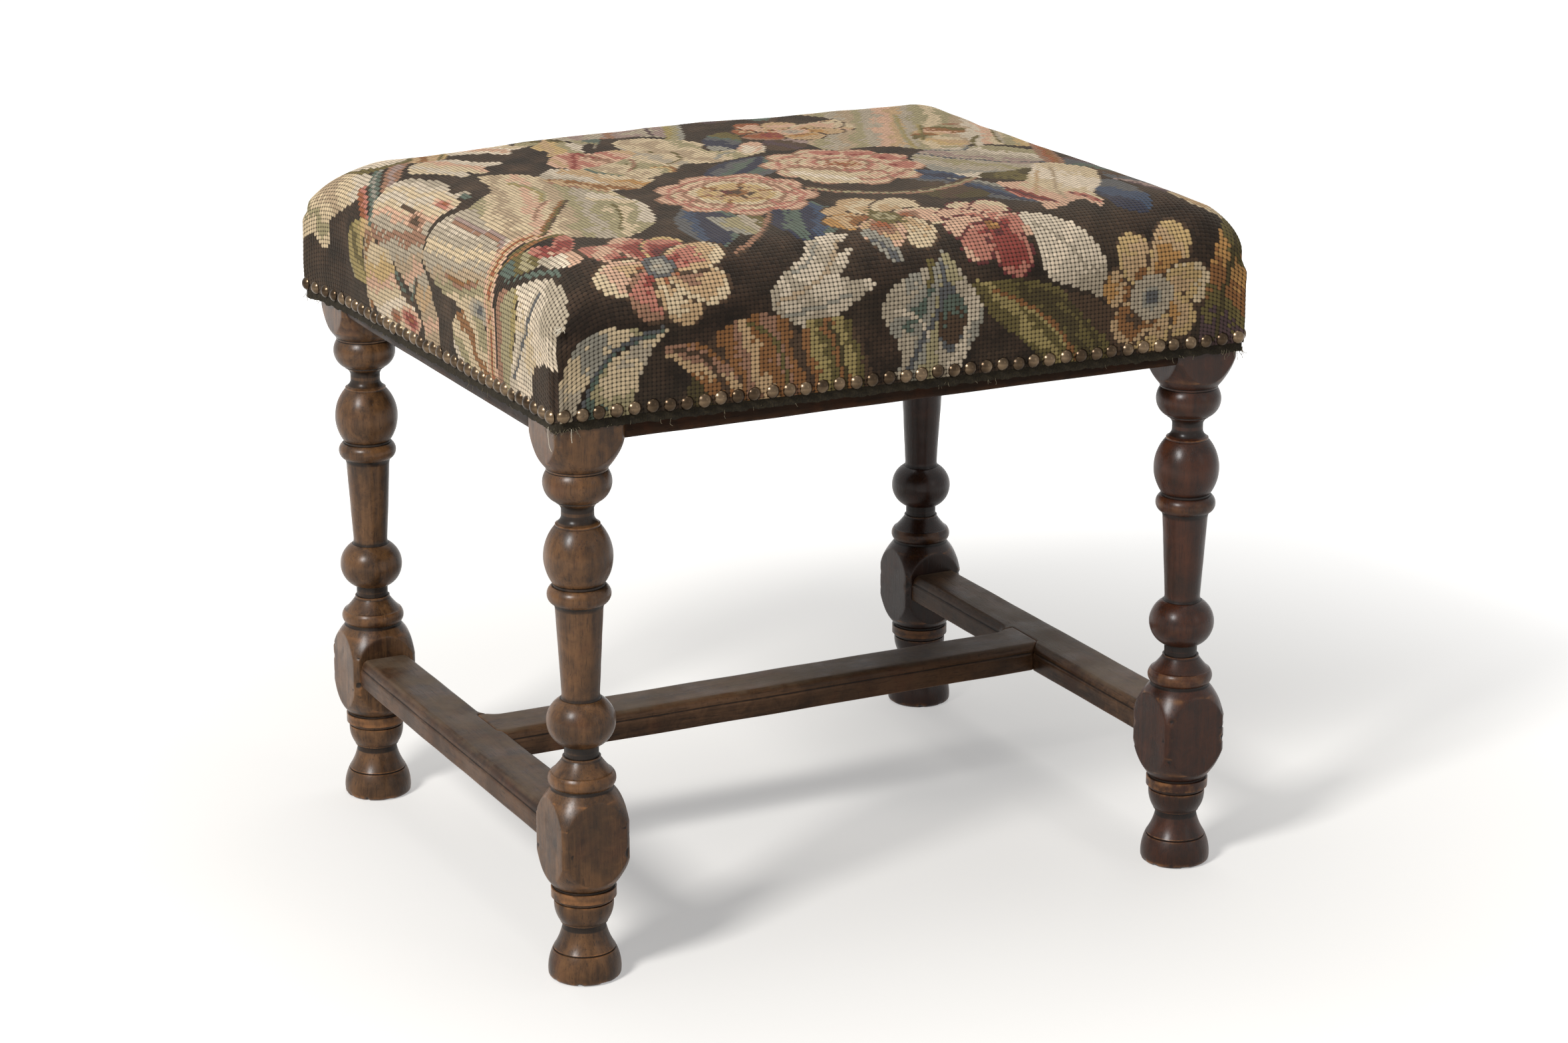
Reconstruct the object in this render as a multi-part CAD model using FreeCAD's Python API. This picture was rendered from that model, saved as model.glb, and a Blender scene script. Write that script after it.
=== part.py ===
import FreeCAD, Part
import math
import os

from FreeCAD import Vector

# Over-stuffed joint stool: four one-piece turned legs with square blocks, four rails tenoned
# into the upper blocks, a moulded H stretcher tenoned into the lower blocks, and on the frame
# webbing, base cloth, edge roll and hair under one needlework cover that hangs over the rails.
# Millimetres. Z = 0 is the floor, X runs along the long side, the front is at -Y.

# Plan of the frame, centre to centre of the legs
leg_spread_x = 478.0
leg_spread_y = 397.0

# Square blocks of the legs
block_side = 48.0
arris_wear = 0.6

# Turned work: flat sides round the axis, and the longest facet along a round member
turning_sides = 32
turning_facet = 8.0

# Turned foot, from the floor up
sole_radius = 23.4
sole_round_height = 2.6
foot_radius = 25.2
foot_belly_radius = 24.7
foot_shoulder_radius = 22.1
foot_height = 18.2
bell_waist_radius = 17.9
bell_height = 15.8
ankle_radius = 15.2
ankle_height = 3.6
cup_radius = 16.6
cup_belly_radius = 19.7
cup_rim_radius = 20.6
cup_height = 17.8
cup_belly_share = 0.42
foot_ring_radius = 22.5
foot_ring_height = 7.8

# Lower block, where the stretchers are tenoned in
quirk_radius = 21.0
quirk_height = 1.4
shoulder_radius = 27.5
shoulder_rise_share = 0.4
lower_shoulder_height = 22.0
lower_block_flat = 27.0

# Turned shaft between the two blocks, from below
vase_ring_radius = 23.5
vase_ring_edge_radius = 21.7
vase_ring_height = 9.6
vase_waist_radius = 16.2
vase_height = 11.1
lower_neck_radius = 12.0
lower_neck_height = 8.7
bead_radius = 23.6
bead_edge_radius = 14.4
bead_height = 32.6
column_cove_height = 4.4
column_foot_radius = 12.9
column_top_radius = 16.3
column_height = 59.0
column_rim_height = 4.5
collar_radius = 21.7
collar_edge_radius = 18.6
collar_height = 12.2
groove_radius = 17.6
groove_height = 1.6
ball_radius = 23.6
ball_top_radius = 15.6
ball_height = 40.1
upper_lip_radius = 15.3
upper_lip_height = 1.5
upper_cove_height = 5.0
upper_neck_radius = 11.2
upper_neck_height = 5.5
top_ring_edge_radius = 17.6
top_ring_radius = 23.4
top_ring_rim_radius = 20.3
top_ring_height = 20.7
top_ring_belly_share = 0.62

# Upper block, where the rails are tenoned in
upper_shoulder_height = 23.5
upper_block_flat = 62.5

# Rails of the seat frame
rail_height = 65.0
rail_thickness = 28.0
rail_setback = 1.0
rail_bead_height = 6.5
rail_quirk_depth = 1.0
rail_quirk_height = 1.4
rail_arris = 2.5

# Tenons of the rails
joint_clearance = 0.1
mortise_end_gap = 1.0
tenon_spacing = 1.5
rail_cheek = 10.0
rail_tenon_thickness = 9.0
rail_tenon_above = 12.0
rail_tenon_below = 8.0

# Stretchers, with one moulding on every long edge
stretcher_thickness = 21.0
stretcher_rise = 3.5
side_stretcher_width = 42.0
centre_stretcher_width = 45.0
moulding_width = 7.5
moulding_quirk_width = 1.3
moulding_quirk_depth = 1.6
moulding_drop = 8.0
moulding_step = 1.2
moulding_runout_radius = 11.0
stretcher_tenon_thickness = 11.0
stretcher_tenon_height = 15.0
side_tenon_length = 30.0
centre_tenon_length = 22.0

# Webbing and base cloth on top of the rails
web_width = 50.0
web_thickness = 1.8
web_landing = 11.0
web_rise_length = 25.0
long_web_count = 4
cross_web_count = 5
base_cloth_thickness = 0.9

# Stitched edge roll along the top of the rails
roll_width = 15.0
roll_height = 17.0
roll_lean = 5.0

# Needlework cover over the stuffing
cover_gap = 0.3
cover_thickness = 3.2
cover_drop = 54.0
cover_belly_height = 22.0
hem_tuck = 1.2
hem_corner_radius = 5.0
side_corner_radius = 9.0
corner_facets = 6

# Crown of the seat: a round edge all round, and a shallow dome on top
edge_foot_height = 8.0
edge_corner_radius = 18.0
edge_width = 50.0
edge_rise = 42.0
edge_steps = 5
dome_rise = 10.0
dome_ring_shares = (0.4, 0.62, 0.84)
corner_growth_share = 0.5
corner_limit_share = 0.8

# One overrun for every cut that runs past a face
overrun = 2.0

# Heights and faces that follow from the sizes above
foot_top = (sole_round_height + foot_height + bell_height + ankle_height + cup_height
            + foot_ring_height)
lower_block_bottom = foot_top + quirk_height
lower_block_height = 2 * lower_shoulder_height + lower_block_flat
lower_block_top = lower_block_bottom + lower_block_height
shaft_height = (2 * quirk_height + vase_ring_height + vase_height + lower_neck_height
                + bead_height + column_cove_height + column_height + column_rim_height
                + collar_height + groove_height + ball_height
                + 2 * (upper_lip_height + upper_cove_height) + upper_neck_height
                + top_ring_height)
upper_block_bottom = lower_block_top + shaft_height
rail_top = upper_block_bottom + upper_shoulder_height + upper_block_flat
rail_bottom = rail_top - rail_height
half_block = block_side / 2
corner_radius = half_block * math.sqrt(2) - arris_wear
half_spread_x = leg_spread_x / 2
half_spread_y = leg_spread_y / 2
frame_half_x = half_spread_x + half_block
frame_half_y = half_spread_y + half_block
rail_offset = half_block - rail_setback - rail_thickness / 2
rail_inset = rail_setback + rail_thickness
rail_tenon_length = block_side - rail_cheek - rail_tenon_thickness - tenon_spacing
stretcher_top = lower_block_bottom + (lower_block_height + stretcher_thickness) / 2 + stretcher_rise
stretcher_bottom = stretcher_top - stretcher_thickness
stretcher_middle = stretcher_top - stretcher_thickness / 2
side_stretcher_face = half_spread_x - side_stretcher_width / 2
cloth_bottom = rail_top + 2 * web_thickness
cloth_top = cloth_bottom + base_cloth_thickness
seat_half_x = frame_half_x + cover_gap + cover_thickness
seat_half_y = frame_half_y + cover_gap + cover_thickness
hem_height = rail_top - cover_drop


class Turning:
    """A turned piece, drawn member by member up its axis."""

    def __init__(self, radius, height):
        self.points = [Vector(radius, 0, height)]

    @property
    def point(self):
        """Where the outline has got to."""
        return self.points[-1]

    def to(self, radius, rise):
        """A straight run to a new radius."""
        self.points.append(Vector(radius, 0, self.point.z + rise))

    def bend(self, through_radius, radius, rise, share=0.5):
        """An arc that passes a given radius at a share of its rise, worked in short facets."""
        middle = Vector(through_radius, 0, self.point.z + rise * share)
        end = Vector(radius, 0, self.point.z + rise)
        arc = Part.Arc(self.point, middle, end).toShape()
        facets = max(2, round(arc.Length / turning_facet))
        self.points += arc.discretize(facets + 1)[1:-1] + [end]

    def solid(self):
        """The outline carried once round the axis."""
        angles = [2 * math.pi * side / turning_sides for side in range(turning_sides)]
        return flat_sided([[Vector(point.x * math.cos(angle), point.x * math.sin(angle), point.z)
                            for angle in angles] for point in self.points])


def flat_face(corners):
    """A flat face between its corners."""
    return Part.Face(Part.makePolygon(corners + corners[:1]))


def flat_sided(rings):
    """A solid with flat faces from each level ring of points to the next, closed at its ends."""
    faces = [flat_face(rings[0]), flat_face(rings[-1])]
    for low, high in zip(rings, rings[1:]):
        for turn in range(len(low)):
            faces.append(flat_face([low[turn - 1], low[turn], high[turn], high[turn - 1]]))
    return Part.Solid(Part.Shell(faces))


def line(start, end):
    """A straight edge."""
    return Part.LineSegment(start, end).toShape()


def box(x0, x1, y0, y1, z0, z1):
    """A block between two corners."""
    return Part.makeBox(x1 - x0, y1 - y0, z1 - z0, Vector(x0, y0, z0))


def centred_box(half_x, half_y, z0, z1, x=0, y=0):
    """A block round a vertical line."""
    return box(x - half_x, x + half_x, y - half_y, y + half_y, z0, z1)


def in_corner(shape, side_x, side_y):
    """A shape drawn on the back right leg's axis, set at the leg of the given corner."""
    if side_x < 0:
        shape = shape.mirror(Vector(0, 0, 0), Vector(1, 0, 0))
    if side_y < 0:
        shape = shape.mirror(Vector(0, 0, 0), Vector(0, 1, 0))
    shape = shape.copy()
    shape.translate(Vector(side_x * half_spread_x, side_y * half_spread_y, 0))
    return shape


def turned_foot():
    """Foot, bell, ankle, cup and the ring under the lower block."""
    foot = Turning(sole_radius, 0)
    foot.to(foot_radius, sole_round_height)
    foot.bend(foot_belly_radius, foot_shoulder_radius, foot_height)
    foot.bend(bell_waist_radius, ankle_radius, bell_height)
    foot.to(ankle_radius, ankle_height)
    foot.to(cup_radius, 0)
    foot.bend(cup_belly_radius, cup_rim_radius, cup_height, cup_belly_share)
    foot.to(foot_ring_radius, 0)
    foot.to(foot_ring_radius, foot_ring_height)
    foot.to(quirk_radius, quirk_height)
    return foot.solid()


def turned_shaft():
    """Vase, bead, tapered column, collar, ball and top ring between the blocks."""
    shaft = Turning(quirk_radius, lower_block_top)
    shaft.to(vase_ring_edge_radius, quirk_height)
    shaft.bend(vase_ring_radius, vase_ring_edge_radius, vase_ring_height)
    shaft.bend(vase_waist_radius, lower_neck_radius, vase_height)
    shaft.to(lower_neck_radius, lower_neck_height)
    shaft.to(bead_edge_radius, 0)
    shaft.bend(bead_radius, bead_edge_radius, bead_height)
    shaft.to(column_foot_radius, column_cove_height)
    shaft.to(column_top_radius, column_height)
    shaft.to(collar_edge_radius, column_rim_height)
    shaft.bend(collar_radius, collar_edge_radius, collar_height)
    shaft.to(groove_radius, groove_height)
    shaft.bend(ball_radius, ball_top_radius, ball_height)
    shaft.to(upper_lip_radius, upper_lip_height)
    shaft.to(upper_neck_radius, upper_cove_height)
    shaft.to(upper_neck_radius, upper_neck_height)
    shaft.to(upper_lip_radius, upper_cove_height)
    shaft.to(upper_lip_radius, upper_lip_height)
    shaft.to(top_ring_edge_radius, 0)
    shaft.bend(top_ring_radius, top_ring_rim_radius, top_ring_height, top_ring_belly_share)
    shaft.to(quirk_radius, quirk_height)
    return shaft.solid()


def turned_block(bottom, lower_shoulder, flat, upper_shoulder):
    """A square block whose ends are turned down to round shoulders."""
    turned = Turning(quirk_radius, bottom)
    turned.bend(shoulder_radius, corner_radius, lower_shoulder, shoulder_rise_share)
    turned.to(corner_radius, flat)
    if upper_shoulder:
        turned.bend(shoulder_radius, quirk_radius, upper_shoulder, 1 - shoulder_rise_share)
    stock = centred_box(half_block, half_block, bottom, turned.point.z)
    return turned.solid().common(stock)


def leg_blank():
    """One leg on its own axis, before its joints are cut."""
    lower_block = turned_block(lower_block_bottom, lower_shoulder_height, lower_block_flat,
                               lower_shoulder_height)
    upper_block = turned_block(upper_block_bottom, upper_shoulder_height, upper_block_flat, 0)
    return turned_foot().fuse([lower_block, turned_shaft(), upper_block]).removeSplitter()


def rail_tenon(along, clearance):
    """Tenon of one rail in the back right leg, or with a clearance its mortise."""
    across = half_block - rail_cheek - rail_tenon_thickness / 2
    half = rail_tenon_thickness / 2 + clearance
    tip = rail_tenon_length - half_block
    root = -half_block
    if clearance:
        tip += mortise_end_gap
        root -= overrun
    bottom = rail_bottom + rail_tenon_below - clearance
    top = rail_top - rail_tenon_above + clearance
    if along == "x":
        return box(root, tip, across - half, across + half, bottom, top)
    return box(across - half, across + half, root, tip, bottom, top)


def side_tenon(clearance):
    """Tenon of a side stretcher in the back right leg, or with a clearance its mortise."""
    half = stretcher_tenon_thickness / 2 + clearance
    half_height = stretcher_tenon_height / 2 + clearance
    tip = side_tenon_length - half_block
    root = -half_block
    if clearance:
        tip += mortise_end_gap
        root -= overrun
    return box(-half, half, root, tip, stretcher_middle - half_height,
               stretcher_middle + half_height)


def mortised_leg():
    """The back right leg on its own axis, with its mortises."""
    return leg_blank().cut([rail_tenon("x", joint_clearance), rail_tenon("y", joint_clearance),
                            side_tenon(joint_clearance)])


def rail_outline(place, side, middle):
    """Section of a rail as a face; place makes a point from its distance across and height."""
    outer = middle + side * rail_thickness / 2
    inner = middle - side * rail_thickness / 2
    quirk = rail_bottom + rail_bead_height
    section = [(inner, rail_bottom), (outer - side * rail_arris, rail_bottom),
               (outer, rail_bottom + rail_arris), (outer, quirk),
               (outer - side * rail_quirk_depth, quirk + rail_quirk_height / 2),
               (outer, quirk + rail_quirk_height), (outer, rail_top), (inner, rail_top)]
    return flat_face([place(across, height) for across, height in section])


def rail_along_x(side):
    """Front (-1) or back (1) rail with its two tenons."""
    half = half_spread_x - half_block
    face = rail_outline(lambda across, height: Vector(-half, across, height), side,
                        side * (half_spread_y + rail_offset))
    tenons = [in_corner(rail_tenon("x", 0), end, side) for end in (-1, 1)]
    return face.extrude(Vector(2 * half, 0, 0)).fuse(tenons).removeSplitter()


def rail_along_y(side):
    """Left (-1) or right (1) rail with its two tenons."""
    half = half_spread_y - half_block
    face = rail_outline(lambda across, height: Vector(across, -half, height), side,
                        side * (half_spread_x + rail_offset))
    tenons = [in_corner(rail_tenon("y", 0), side, end) for end in (-1, 1)]
    return face.extrude(Vector(0, 2 * half, 0)).fuse(tenons).removeSplitter()


def moulding_waste():
    """What the moulding plane takes off, with the wood's face at X = 0 and its top at Z = 0."""
    quirk_inner = -moulding_width
    quirk_outer = moulding_quirk_width - moulding_width
    reach = -moulding_step - quirk_outer
    bend = math.sqrt(2) / 2
    top_inner = Vector(quirk_inner, 0, overrun)
    inner = Vector(quirk_inner, 0, 0)
    quirk = Vector(quirk_inner + moulding_quirk_width / 2, 0, -moulding_quirk_depth)
    ovolo_top = Vector(quirk_outer, 0, 0)
    ovolo_middle = Vector(quirk_outer + reach * bend, 0, -moulding_drop * (1 - bend))
    ovolo_foot = Vector(-moulding_step, 0, -moulding_drop)
    outer = Vector(overrun, 0, -moulding_drop)
    top_outer = Vector(overrun, 0, overrun)
    edges = [line(top_inner, inner), line(inner, quirk), line(quirk, ovolo_top),
             Part.Arc(ovolo_top, ovolo_middle, ovolo_foot).toShape(), line(ovolo_foot, outer),
             line(outer, top_outer), line(top_outer, top_inner)]
    return Part.Face(Part.Wire(edges))


def moulding_cut(start, end, stop_start=False, stop_end=False):
    """Waste of the moulding along the right-hand edge of a run from start to end.

    It runs past both ends, but at a stopped end it curves out of the wood instead.
    """
    length = (end - start).Length
    pivot = Vector(moulding_runout_radius, 0, 0)
    before = 0 if stop_start else overrun
    after = 0 if stop_end else overrun
    first = moulding_waste()
    first.translate(Vector(0, -before, 0))
    cut = first.extrude(Vector(0, length + before + after, 0))
    if stop_start:
        cut = cut.fuse(moulding_waste().revolve(pivot, Vector(0, 0, 1), 90))
    if stop_end:
        last = moulding_waste()
        last.translate(Vector(0, length, 0))
        cut = cut.fuse(last.revolve(pivot + Vector(0, length, 0), Vector(0, 0, 1), -90))
    heading = math.degrees(math.atan2(end.y - start.y, end.x - start.x))
    cut.rotate(Vector(0, 0, 0), Vector(0, 0, 1), heading - 90)
    cut.translate(start)
    return cut


def top_point(x, y):
    """A point on the stretchers' top face."""
    return Vector(x, y, stretcher_top)


def centre_bar(clearance):
    """Bar of the centre stretcher, mitred at its front corners, or with a clearance its seat."""
    width = centre_stretcher_width / 2 + clearance
    tip = side_stretcher_face + moulding_width + clearance
    corner = side_stretcher_face - clearance
    front = -width + moulding_width + clearance
    outline = [(corner, -width), (tip, front), (tip, width), (-tip, width), (-tip, front),
               (-corner, -width)]
    bar = flat_face([Vector(x, y, stretcher_bottom) for x, y in outline])
    bar = bar.extrude(Vector(0, 0, stretcher_thickness))
    reach = tip + centre_tenon_length
    if clearance:
        reach += mortise_end_gap
    half_height = stretcher_tenon_height / 2 + clearance
    tenons = centred_box(reach, stretcher_tenon_thickness / 2 + clearance,
                         stretcher_middle - half_height, stretcher_middle + half_height)
    return bar.fuse(tenons).removeSplitter()


def centre_stretcher():
    """Long moulded bar: its moulding is mitred at the front and stopped at the back."""
    end = side_stretcher_face + moulding_width
    half_width = centre_stretcher_width / 2
    stop = side_stretcher_face - moulding_runout_radius
    front = moulding_cut(top_point(-end, -half_width), top_point(end, -half_width))
    back = moulding_cut(top_point(stop, half_width), top_point(-stop, half_width), True, True)
    return centre_bar(0).cut([front, back])


def left_stretcher():
    """Left front-to-back moulded bar, with the seat of the centre stretcher."""
    half = half_spread_y - half_block
    outer = -half_spread_x - side_stretcher_width / 2
    inner = -side_stretcher_face
    stop = centre_stretcher_width / 2 + moulding_runout_radius
    bar = centred_box(side_stretcher_width / 2, half, stretcher_bottom, stretcher_top,
                      x=-half_spread_x)
    bar = bar.cut([moulding_cut(top_point(inner, -half), top_point(inner, 0)),
                   moulding_cut(top_point(inner, stop), top_point(inner, half), stop_start=True),
                   moulding_cut(top_point(outer, half), top_point(outer, -half))])
    bar = bar.fuse([in_corner(side_tenon(0), -1, end) for end in (-1, 1)])
    return bar.removeSplitter().cut(centre_bar(joint_clearance))


def even_places(count, span, width):
    """Middles of strips that share a span with even gaps."""
    gap = (span - count * width) / (count + 1)
    return [-span / 2 + gap + width / 2 + place * (gap + width) for place in range(count)]


def webs_long():
    """Webbing straps from left to right, tacked on the side rails."""
    half = frame_half_x - rail_inset + web_landing
    span = 2 * (frame_half_y - rail_inset)
    straps = [centred_box(half, web_width / 2, rail_top, rail_top + web_thickness, y=middle)
              for middle in even_places(long_web_count, span, web_width)]
    return Part.makeCompound(straps)


def webs_cross():
    """Webbing straps from front to back, over the long ones and down to the rails."""
    inner = frame_half_y - rail_inset
    span = 2 * (frame_half_x - rail_inset)
    run = [(-inner - web_landing, 0), (-inner, 0), (web_rise_length - inner, web_thickness)]
    run += [(-y, rise) for y, rise in reversed(run)]
    under = [(y, rail_top + rise) for y, rise in run]
    over = [(y, height + web_thickness) for y, height in reversed(under)]
    straps = []
    for middle in even_places(cross_web_count, span, web_width):
        side = flat_face([Vector(middle - web_width / 2, y, height) for y, height in under + over])
        straps.append(side.extrude(Vector(web_width, 0, 0)))
    return Part.makeCompound(straps)


def base_cloth():
    """Hessian over the webbing, tacked inside the edge roll."""
    return centred_box(frame_half_x - roll_width, frame_half_y - roll_width, cloth_bottom, cloth_top)


def plan_ring(half_x, half_y, radius, height):
    """Points round a rectangle with its corners worked in short facets, level at a height."""
    points = []
    for quarter, (side_x, side_y) in enumerate(((1, 1), (-1, 1), (-1, -1), (1, -1))):
        for step in range(corner_facets + 1):
            angle = (quarter + step / corner_facets) * math.pi / 2
            points.append(Vector(side_x * (half_x - radius) + radius * math.cos(angle),
                                 side_y * (half_y - radius) + radius * math.sin(angle), height))
    return points


def crown_height(inset):
    """Height of the crown above the foot of its round edge, a distance in from the side."""
    edge = 1 - min(inset, edge_width) / edge_width
    dome = 1 - inset / seat_half_y
    return edge_rise * math.sqrt(1 - edge * edge) + dome_rise * (1 - dome * dome)


def crown_insets():
    """Distances in from the side at which the crown's rings lie."""
    turn = math.pi / 2 / edge_steps
    edge = [edge_width * (1 - math.cos(turn * step)) for step in range(edge_steps + 1)]
    return edge + [seat_half_y * share for share in dome_ring_shares]


def cushion_form(inset, drop):
    """Form of the seat with drawn-in hem and crown, set in all round and let down."""
    rings = [(hem_height, hem_tuck, hem_corner_radius),
             (hem_height + cover_belly_height, 0, side_corner_radius),
             (rail_top, 0, side_corner_radius)]
    for width in crown_insets():
        grown = edge_corner_radius + corner_growth_share * width
        limit = corner_limit_share * (seat_half_y - width - inset)
        rings.append((rail_top + edge_foot_height + crown_height(width), width, min(grown, limit)))
    return flat_sided([plan_ring(seat_half_x - width - inset, seat_half_y - width - inset, radius,
                                 height - drop)
                       for height, width, radius in rings])


def frame_room():
    """The space of the legs' and rails' upper ends, with the cover's gap round it."""
    return centred_box(frame_half_x + cover_gap, frame_half_y + cover_gap,
                       hem_height - overrun, rail_top + cover_gap)


def seat_cover():
    """Needlework cover, open below, down over the rails to its nailed hem."""
    stuffed = cushion_form(cover_thickness, cover_thickness)
    below = centred_box(seat_half_x, seat_half_y, hem_height - cover_drop, rail_top)
    return cushion_form(0, 0).cut([stuffed.cut(below), frame_room()])


def under_cover():
    """The space under the cover and over the rails, a gap inside the cover."""
    inset = cover_thickness + cover_gap
    below = centred_box(seat_half_x, seat_half_y, hem_height - cover_drop, rail_top)
    return cushion_form(inset, inset).cut(below)


def edge_roll():
    """Stitched roll on the rails' outer edges, upright outside and leaning over inside."""
    top = rail_top + roll_height
    well = flat_sided([[Vector(x * (frame_half_x - width), y * (frame_half_y - width), height)
                        for x, y in ((1, 1), (-1, 1), (-1, -1), (1, -1))]
                       for width, height in ((roll_width, rail_top), (roll_width - roll_lean, top))])
    return under_cover().common(centred_box(seat_half_x, seat_half_y, rail_top, top)).cut(well)


def stuffing():
    """Hair pad from the base cloth and the edge roll up to the cover."""
    cloth = centred_box(frame_half_x - roll_width, frame_half_y - roll_width, rail_top, cloth_top)
    return under_cover().cut([edge_roll(), cloth])


def build():
    """Every node of the stool by name."""
    nodes = {}
    leg = mortised_leg()
    for side_x, across in ((-1, "left"), (1, "right")):
        for side_y, along in ((-1, "front"), (1, "back")):
            nodes["leg_" + along + "_" + across] = in_corner(leg, side_x, side_y)
    nodes["seat_rail_front"] = rail_along_x(-1)
    nodes["seat_rail_back"] = rail_along_x(1)
    nodes["seat_rail_left"] = rail_along_y(-1)
    nodes["seat_rail_right"] = rail_along_y(1)
    nodes["side_stretcher_left"] = left_stretcher()
    nodes["side_stretcher_right"] = left_stretcher().mirror(Vector(0, 0, 0), Vector(1, 0, 0))
    nodes["centre_stretcher"] = centre_stretcher()
    nodes["webbing_long"] = webs_long()
    nodes["webbing_cross"] = webs_cross()
    nodes["base_cloth"] = base_cloth()
    nodes["edge_roll"] = edge_roll()
    nodes["stuffing"] = stuffing()
    nodes["seat_cover"] = seat_cover()
    return nodes


os.makedirs("parts", exist_ok=True)
for name, shape in build().items():
    shape.exportStep("parts/" + name + ".step")
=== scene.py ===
import math

import bpy
import numpy as np
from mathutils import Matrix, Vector, noise


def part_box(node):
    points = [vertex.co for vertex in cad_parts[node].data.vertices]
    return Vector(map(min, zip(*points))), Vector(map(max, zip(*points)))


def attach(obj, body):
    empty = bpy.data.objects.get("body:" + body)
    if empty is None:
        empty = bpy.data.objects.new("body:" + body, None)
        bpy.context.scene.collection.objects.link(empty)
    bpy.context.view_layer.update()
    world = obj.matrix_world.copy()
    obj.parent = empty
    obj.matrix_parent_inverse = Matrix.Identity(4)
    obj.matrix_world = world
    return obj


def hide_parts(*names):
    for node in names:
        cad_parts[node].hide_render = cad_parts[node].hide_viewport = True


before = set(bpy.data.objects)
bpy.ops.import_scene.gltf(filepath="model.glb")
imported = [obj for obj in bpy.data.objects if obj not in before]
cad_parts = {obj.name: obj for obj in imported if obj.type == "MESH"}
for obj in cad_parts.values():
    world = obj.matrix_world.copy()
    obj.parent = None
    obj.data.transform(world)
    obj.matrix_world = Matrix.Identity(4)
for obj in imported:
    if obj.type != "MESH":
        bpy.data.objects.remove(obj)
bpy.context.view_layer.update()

# Upholstered joint stool: turned walnut legs, moulded H stretcher, and a needlework cover
# nailed over webbing, hessian, an edge roll and a hair pad. Shapes are worked out in
# millimetres and become metres when a mesh is made.

millimetre = 0.001
draw = np.random.default_rng(41)


def node_box(node):
    """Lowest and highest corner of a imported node, in millimetres."""
    low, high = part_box(node)
    return np.array(low) / millimetre, np.array(high) / millimetre


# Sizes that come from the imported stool
cover_high = node_box("seat_cover")[1]
leg_low, leg_high = node_box("leg_front_left")
rail_low = node_box("seat_rail_front")[0]
seat_half_x, seat_half_y = cover_high[0], cover_high[1]
seat_top = cover_high[2]
rail_top = leg_high[2]
rail_bottom = rail_low[2]
half_block = (leg_high[0] - leg_low[0]) / 2
leg_centre_x = -(leg_high[0] + leg_low[0]) / 2
leg_centre_y = -(leg_high[1] + leg_low[1]) / 2
frame_half_x = leg_centre_x + half_block
frame_half_y = leg_centre_y + half_block


# Meshes

def new_piece(name, points, faces, material, node=None, smooth_degrees=40.0):
    """A piece from points in millimetres, smooth but for its sharp edges, riding on the stool."""
    mesh = bpy.data.meshes.new(name)
    mesh.from_pydata((np.asarray(points, float) * millimetre).tolist(), [], faces)
    return finish_piece(name, mesh, material, node, smooth_degrees)


def finish_piece(name, mesh, material, node=None, smooth_degrees=40.0):
    """Gives a mesh its shading, material and place in the stool."""
    mesh.validate()
    mesh.shade_smooth()
    mesh.set_sharp_from_angle(angle=math.radians(smooth_degrees))
    mesh.materials.clear()
    mesh.materials.append(material)
    piece = bpy.data.objects.new(name, mesh)
    bpy.context.scene.collection.objects.link(piece)
    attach(piece, "root")
    for replaced in node or []:
        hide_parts(replaced)
    return piece


def grid_faces(rows, columns, closed=False, start=0):
    """Quads between rows of points, round again to the first column where closed."""
    faces = []
    for row in range(rows - 1):
        for column in range(columns if closed else columns - 1):
            after = (column + 1) % columns
            low, high = start + row * columns, start + (row + 1) * columns
            faces.append((low + column, low + after, high + after, high + column))
    return faces


def joined(parts):
    """Points and faces of several shapes as one."""
    points, faces = [], []
    for some_points, some_faces in parts:
        faces += [tuple(corner + len(points) for corner in face) for face in some_faces]
        points += [tuple(point) for point in some_points]
    return points, faces


def wander(points, size, strength, seed=0.0):
    """Smooth random push for each point, in millimetres."""
    offset = Vector((seed * 3.1, seed * 7.7, seed * 1.9))
    return np.array([noise.noise_vector(Vector(point) / size + offset) for point in points]) * strength


def store_relief(mesh, rounds=8):
    """Stores how far each point stands proud of its surroundings, in millimetres."""
    count = len(mesh.vertices)
    place = np.zeros(count * 3)
    mesh.vertices.foreach_get("co", place)
    place = place.reshape(-1, 3) / millimetre
    normal = np.zeros(count * 3)
    mesh.vertices.foreach_get("normal", normal)
    ends = np.zeros(len(mesh.edges) * 2, int)
    mesh.edges.foreach_get("vertices", ends)
    first, second = ends.reshape(-1, 2).T
    neighbours = np.bincount(ends, minlength=count).clip(1)[:, None]
    smoothed = place.copy()
    for _ in range(rounds):
        total = np.zeros_like(smoothed)
        np.add.at(total, first, smoothed[second])
        np.add.at(total, second, smoothed[first])
        smoothed = total / neighbours
    relief = ((place - smoothed) * normal.reshape(-1, 3)).sum(1)
    stored = mesh.attributes.new("relief", "FLOAT", "POINT")
    stored.data.foreach_set("value", relief.astype(np.float32))


# Shader trees

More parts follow.
